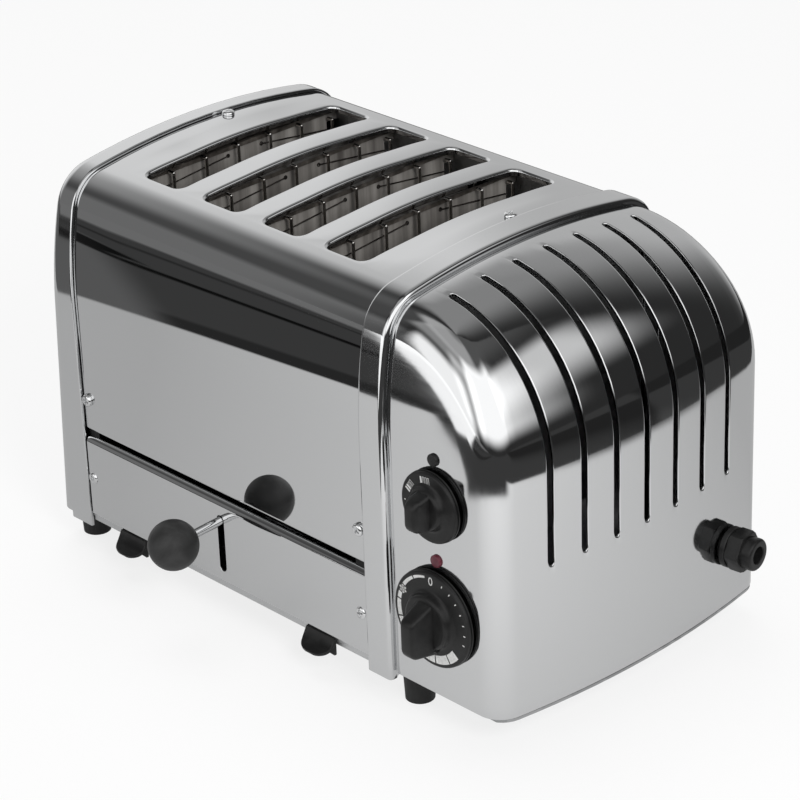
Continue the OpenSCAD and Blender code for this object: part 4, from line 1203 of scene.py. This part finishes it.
def tray_pull():
    """A finger tongue that curls out and down from the tray's front, with a cheek at each end."""
    root, high, curl, wall = -95.6, 22.5, 7.0, 1.7
    line = [(root, high)] + arc((root - 1.8 - curl, high), curl, 0, -70, 28)
    y, z = line[-1]
    line += [(y - 3.3 * i / 8, z - 1.07 * i / 8) for i in range(1, 9)]

    def run(points):
        return sum(math.dist(a, b) for a, b in zip(points, points[1:]))

    def drawn_in(r, left):
        """How far a rounded corner of radius r narrows the tongue at a distance from its end."""
        return r - math.sqrt(r ** 2 - max(0.0, r - left) ** 2)

    rows = []
    for k, (y, z) in enumerate(line):
        half = PULL_HALF_W - drawn_in(PULL_TIP_R, run(line[k:]))
        half -= 0.8 * drawn_in(PULL_ROOT_R, run(line[:k + 1]))
        rows.append([(half * (i / 10 - 1), y, z) for i in range(21)])
    tongue = weld(drawn("tray_pull", all_points(rows), grid_faces(rows, 0)), outwards=False)
    thicken(tongue, wall)
    cheeks = []
    foot = high - curl - 2.8
    for side in (-1, 1):
        outline = [(root, high), (root - 4.6, high - curl + 0.4), (root - 1.4, foot), (root, foot)]
        low, top = sorted((side * 8.7, side * 10.4))
        cheeks.append(extruded("cheek", outline, 0, low, top))
    pull = joined("tray_pull", [tongue] + cheeks)
    soften(pull, 0.4, 50)
    return smooth(pull, 45)


pull = tray_pull()
for x, name, node in zip(PULL_XS, ("left_pull", "right_pull"), ("left_tray_pull", "right_tray_pull")):
    piece = copied(pull, name, moved(x, 0, 0))
    finished(piece, PULL_BLACK, "tray", "black_plastic", node)
bpy.data.objects.remove(pull)


# Cable gland

def gland():
    """Collar and sealing nut: a chamfered hexagon with a turned nose and an open bore."""
    bore, thread_r, nose_r = GLAND_BORE_R, 8, 8.3
    profile = [(thread_r, 0.15), (10.2, 0.15), (10.5, 0.5), (10.5, 2.6), (10.1, 3.1)]
    profile += [(bore, 3.1), (bore, -9.5), (thread_r, -9.5), (thread_r, 0.15)]
    collar = smooth(turned("collar", profile, 64), 35)
    clear_bench()
    bpy.ops.mesh.primitive_cylinder_add(
        vertices=6, radius=11 * MM, depth=8 * MM, location=(0, 0, 7.2 * MM))
    nut = on_bench()
    settle(nut)
    profile = [(0, 3.2), (10.1, 3.2), (11.2, 4.4), (11.2, 10.0), (10.1, 11.2), (0, 11.2)]
    cut(nut, turned("barrel", profile, 64), "INTERSECT")
    profile = [(nose_r, 10.8), (8.4, 14.6)] + arc((6.8, 15.4), 1.6, 0, 90, 5)
    profile += [(4.9, 17.0), (bore, 16.6), (bore, 3.2), (nose_r, 3.2), (nose_r, 10.8)]
    nose = turned("nose", profile, 64)
    hollow_r = bore + 0.1
    hollow = turned("hollow", [(0, 0), (hollow_r, 0), (hollow_r, 20), (0, 20)], 48)
    cut(nut, hollow)
    soften(nut, 0.3, 25)
    smooth(nut, 30)
    smooth(nose, 35)
    return collar, joined("gland_seal_nut", [nut, nose])


collar, seal_nut = gland()
on_end = moved(*GLAND) @ rotated(GLAND_TURN, "Z") @ rotated(90, "Y")
for piece, name, node in (
        (collar, "gland_collar", "gland_body"),
        (seal_nut, "gland_seal_nut", "gland_nut")):
    piece.name = name
    place(piece, on_end)
    finished(piece, KNOB_BLACK, "body", "black_plastic", node)


# Heating elements: what the slots show of their upper edges

def wire_run(name, x, path, r, sides=8):
    """A wire along a path of (y, z) points beside a sheet."""
    points = []
    for i, (y, z) in enumerate(path):
        before, after = path[max(i - 1, 0)], path[min(i + 1, len(path) - 1)]
        run = Vector((after[0] - before[0], after[1] - before[1])).normalized()
        for s in range(sides):
            turn = math.tau * s / sides
            across = r * math.sin(turn)
            points.append((x + r * math.cos(turn), y - run.y * across, z + run.x * across))
    last = (len(path) - 1) * sides
    faces = [
        (i + s, i + (s + 1) % sides, i + sides + (s + 1) % sides, i + sides + s)
        for i in range(0, last, sides) for s in range(sides)]
    faces += [tuple(range(sides)), tuple(range(last, last + sides))]
    return smooth(weld(drawn(name, points, faces)), 50)


def element_edges():
    """A folded strip over each sheet's upper edge, and the two ends of its wire with their eyelets."""
    strips, leads = [], []
    under = STRIP_TOP - 0.7
    for x in ELEMENT_XS:
        outline = [
            (x - STRIP_OUT, STRIP_LOW), (x - STRIP_IN, STRIP_LOW),
            (x - STRIP_IN, under), (x + STRIP_IN, under),
            (x + STRIP_IN, STRIP_LOW), (x + STRIP_OUT, STRIP_LOW),
            (x + STRIP_OUT, STRIP_TOP), (x - STRIP_OUT, STRIP_TOP)]
        strips.append(extruded("strip", outline, 1, -STRIP_HALF, STRIP_HALF))
        against = x + MICA_HALF + LEAD_R
        for start, end in LEAD_ENDS:
            leads.append(wire_run("lead", against, [(start, EYE_Z), (end, LEAD_LOW)], LEAD_R))
            eye = turned("eye", [(0.5, 0), (1.15, 0), (1.05, 0.4), (0.6, 0.4), (0.5, 0)], 20)
            leads.append(place(eye, moved(x + MICA_HALF, start, EYE_Z) @ rotated(90, "Y")))
    return joined("element_strips", strips), joined("element_leads", leads)


strips, leads = element_edges()
finished(strips, STRIP, "body", "element_wire", "element_clips")
finished(leads, ELEMENT, "body", "element_wire")


# Solids that keep their own shape get their finish here

def numbered(name, count):
    return [f"{name}_{i}" for i in range(1, count + 1)]


dressed = {
    ZINC: ["crumb_tray"],
    CHROME: ["lever_rod", "foot_screws"],
    CHASSIS: [
        "base_plate", "left_bulkhead", "right_bulkhead", "front_frame", "rear_frame", "lever_bracket",
        "tray_runners", "lift_frame", "lever_arm"],
    WIRE: numbered("guard", 4) + numbered("bread_rack", 4) + [
        "lever_pivot", "lift_pin", "left_guide_rod", "right_guide_rod", "timer_shaft",
        "selector_shaft"],
    MICA: numbered("element", 5),
    ELEMENT: numbered("winding", 5),
    RUBBER: ["feet"],
    LENS: ["neon_lamp"],
    KNOB_BLACK: ["index_plug", "gland_locknut", "selector_switch"],
    HOUSING: ["timer_unit", "terminal_block"],
}
for material, names in dressed.items():
    for name in names:
        dress(nodes[name], material)


# Floor, studio and camera

def seen_rays(tree):
    """The light path, and a mask of the rays that show a thing instead of only lighting by it."""
    path = tree.nodes.new("ShaderNodeLightPath")
    either = maths(tree, "MAXIMUM", path.outputs["Is Camera Ray"], path.outputs["Is Glossy Ray"])
    return path, maths(tree, "MAXIMUM", either, path.outputs["Is Transmission Ray"])


def stage_material(obj, name):
    """Gives a stage piece a material that has only its output yet, and returns the material's tree."""
    material = bpy.data.materials.new(name)
    material.use_nodes = True
    dress(obj, material)
    tree = material.node_tree
    tree.nodes.remove(tree.nodes["Principled BSDF"])
    return tree


def floor():
    """A pale floor; reflections see it as a lit table with dark and pale patches beyond its edges."""
    clear_bench()
    bpy.ops.mesh.primitive_plane_add(size=9)
    plane = on_bench()
    plane.name = "floor"
    tree = stage_material(plane, "pale_floor")
    path, seen = seen_rays(tree)
    to_camera = path.outputs["Is Camera Ray"]
    spot = tree.nodes.new("ShaderNodeTexCoord").outputs["Object"]
    split = tree.nodes.new("ShaderNodeSeparateXYZ")
    tree.links.new(spot, split.inputs[0])
    x, y = split.outputs["X"], split.outputs["Y"]

    def step(value, low, high):
        return soft_step(tree, value, low, high)

    def times(first, *others):
        for value in others:
            first = maths(tree, "MULTIPLY", first, value)
        return first

    def less(a, b):
        return maths(tree, "SUBTRACT", a, b)

    def scaled(value, by, plus):
        return maths(tree, "MULTIPLY_ADD", value, by, plus)

    # A spot is known by how far out it lies in front, and by the place on the front panel that shows
    # it: the camera's mirror image behind the panel looks at the spot through that place
    far = along(tree, spot, (-0.658, -0.753, 0.0))
    mirror_x, mirror_y = 1.056, 0.762
    slope = maths(tree, "DIVIDE", less(mirror_x, x), less(mirror_y, y))
    panel = scaled(slope, -(mirror_y + HALF_DEPTH * MM), mirror_x)

    # The lit table, without a corner out past the panel's right end
    table = times(
        step(scaled(panel, 0.12, far), 0.498, 0.484),
        step(along(tree, spot, (0.915, 0.404, 0.0)), 0.462, 0.436))
    reach = tree.nodes.new("ShaderNodeVectorMath")
    reach.operation = "DISTANCE"
    reach.inputs[1].default_value = (0.195, -0.088, 0.0)
    tree.links.new(spot, reach.inputs[0])
    corner = times(
        step(panel, 0.181, 0.185), step(reach.outputs["Value"], 0.26, 0.276), step(y, -0.02, -0.16))
    table = times(table, less(1.0, corner))
    lit_side = maths(tree, "MAXIMUM", along(tree, spot, (0.7, -0.7, 0.0)), 0.0)
    bright = scaled(lit_side, 1.4, 0.465)

    # A bright card stands past the table's edge
    card = times(
        step(panel, 0.197, 0.204), step(far, 0.4, 0.44), step(x, -0.06, -0.11),
        step(along(tree, spot, (0.743, -0.669, 0.0)), 0.14, 0.155))

    # The dark ground: a strip at the table's edge, a block with a gleam in it, a slanted line, the back
    left, right = step(panel, 0.0, -0.05), step(panel, -0.03, 0.0)
    bent = maths(tree, "MAXIMUM", less(0.01, panel), 0.0)
    near_edge = scaled(times(bent, bent), -14.0, far)
    far_edge = scaled(maths(tree, "MINIMUM", panel, 0.018), 2.4, far)
    slanted = scaled(maths(tree, "MINIMUM", panel, 0.0), 1.6, far)
    strip = times(window(tree, far, 0.44, 0.548, 0.012), right)
    gleam = times(window(tree, far, 0.888, 0.908, 0.008), right)
    block = times(step(near_edge, 0.835, 0.86), step(far_edge, 0.955, 0.92), less(1.0, gleam))
    line = window(tree, slanted, 1.09, 1.13, 0.02)
    behind = step(y, 0.12, 0.35)
    pale = times(left, less(1.0, step(far_edge, 0.93, 0.97)))
    dark = scaled(pale, 0.075, 0.055)
    for mask, depth in ((strip, -0.5), (block, -0.9), (line, -0.5), (behind, -0.6)):
        dark = times(dark, scaled(mask, depth, 1.0))
    dark = scaled(step(slanted, 1.22, 1.32), 0.15, dark)
    dark = scaled(card, 1.3, dark)

    # The camera sees the floor white; reflections see the table and the ground
    glow = tree.nodes.new("ShaderNodeEmission")
    level = scaled(less(bright, dark), table, dark)
    tree.links.new(maths(tree, "MAXIMUM", level, to_camera), glow.inputs["Strength"])
    diffuse = preset(tree.nodes.new("ShaderNodeBsdfDiffuse"), color=(0.9, 0.9, 0.9, 1))
    lit = maths(tree, "MAXIMUM", table, to_camera)
    share = times(seen, scaled(lit, -0.2, 1.0))
    mix = tree.nodes.new("ShaderNodeMixShader")
    tree.links.new(share, mix.inputs["Fac"])
    tree.links.new(diffuse.outputs[0], mix.inputs[1])
    tree.links.new(glow.outputs[0], mix.inputs[2])
    tree.links.new(mix.outputs[0], tree.nodes["Material Output"].inputs["Surface"])


def studio_walls():
    """Dark walls and pale screens that only reflections see, as round a photographer's table."""
    radius = 4
    wall_level = 0.032
    degrees = 180 / math.pi
    clear_bench()
    bpy.ops.mesh.primitive_uv_sphere_add(segments=48, ring_count=24, radius=radius)
    walls = on_bench()
    walls.name = "studio_walls"
    tree = stage_material(walls, "studio_walls")
    glow = tree.nodes.new("ShaderNodeEmission")
    spot = tree.nodes.new("ShaderNodeSeparateXYZ")
    tree.links.new(tree.nodes.new("ShaderNodeTexCoord").outputs["Object"], spot.inputs[0])
    x, y, z = (spot.outputs[i] for i in range(3))
    turn = maths(tree, "MULTIPLY", maths(tree, "ARCTAN2", y, x), degrees)
    bearing = maths(tree, "WRAP", turn, 418.0, 58.0)
    rise = maths(tree, "ARCSINE", maths(tree, "DIVIDE", z, radius))
    height = maths(tree, "MULTIPLY", rise, degrees)
    # Each screen's bearings, then its heights, in degrees with the softness of that edge, and its level
    screens = (
        ((136, 6), (193, 20), (-40, 5), (43, 11), 0.33),
        ((80, 22), (193, 20), (-40, 5), (43, 11), 0.55),
        ((83, 25), (165, 15), (45, 7), (96, 4), 0.28),
        ((285, 8), (382, 12), (9, 6), (60, 5), 1.4),
        ((368, 6), (409, 8), (27, 10), (50, 4), 0.75),
        ((188, 8), (230, 4), (-40, 5), (25, 5), 0.165),
        ((188, 10), (226, 6), (24, 5), (75, 10), 0.05),
        ((234, 3), (272, 9), (-6, 4), (33, 8), 1.25),
        ((262, 6), (300, 8), (6, 5), (50, 6), 0.45),
        ((222, 4), (284, 8), (42, 6), (60, 5), 0.3),
        ((199, 8), (335, 14), (58, 5), (84, 8), 0.42),
        ((330, 10), (430, 2), (58, 8), (98, 2), 0.08),
    )
    total = wall_level
    for (start, start_soft), (end, end_soft), (low, low_soft), (high, high_soft), level in screens:
        wide = window(tree, bearing, start, end, start_soft, end_soft)
        tall = window(tree, height, low, high, low_soft, high_soft)
        total = maths(tree, "MULTIPLY_ADD", maths(tree, "MULTIPLY", wide, tall), level, total)
    tree.links.new(total, glow.inputs["Strength"])
    tree.links.new(glow.outputs[0], tree.nodes["Material Output"].inputs["Surface"])
    walls.visible_camera = False
    walls.visible_diffuse = False
    walls.visible_shadow = False


def sky():
    world = bpy.data.worlds.new("studio")
    scene.world = world
    world.use_nodes = True
    tree = world.node_tree
    background = preset(tree.nodes["Background"], color=(1, 1, 1, 1))
    _, seen = seen_rays(tree)
    tree.links.new(maths(tree, "MULTIPLY_ADD", seen, 0.55, 0.45), background.inputs["Strength"])


def lamp(name, at, size, watts):
    data = bpy.data.lights.new(name, "AREA")
    data.shape = "DISK"
    data.size = size
    data.energy = watts
    obj = bpy.data.objects.new(name, data)
    obj.location = at
    target = Vector((0.03, 0, 0.1))
    obj.rotation_euler = (target - Vector(at)).to_track_quat("-Z", "Y").to_euler()
    scene.collection.objects.link(obj)
    return obj


floor()
studio_walls()
sky()
lamp("key_softbox", (1.3, -0.5, 1.05), 0.6, 13).visible_glossy = False
lamp("overhead_softbox", (-0.5, 0.2, 1.9), 1.4, 14).visible_glossy = False

scene.view_settings.view_transform = "Standard"
camera_data = bpy.data.cameras.new("camera")
camera_data.lens = 138.01
camera_data.sensor_width = 36
camera = bpy.data.objects.new("camera", camera_data)
camera.location = (1.0561, -0.9532, 0.7936)
camera.rotation_euler = [math.radians(a) for a in (63.631, 1.922, 46.097)]
scene.collection.objects.link(camera)
scene.camera = camera

clear_bench()
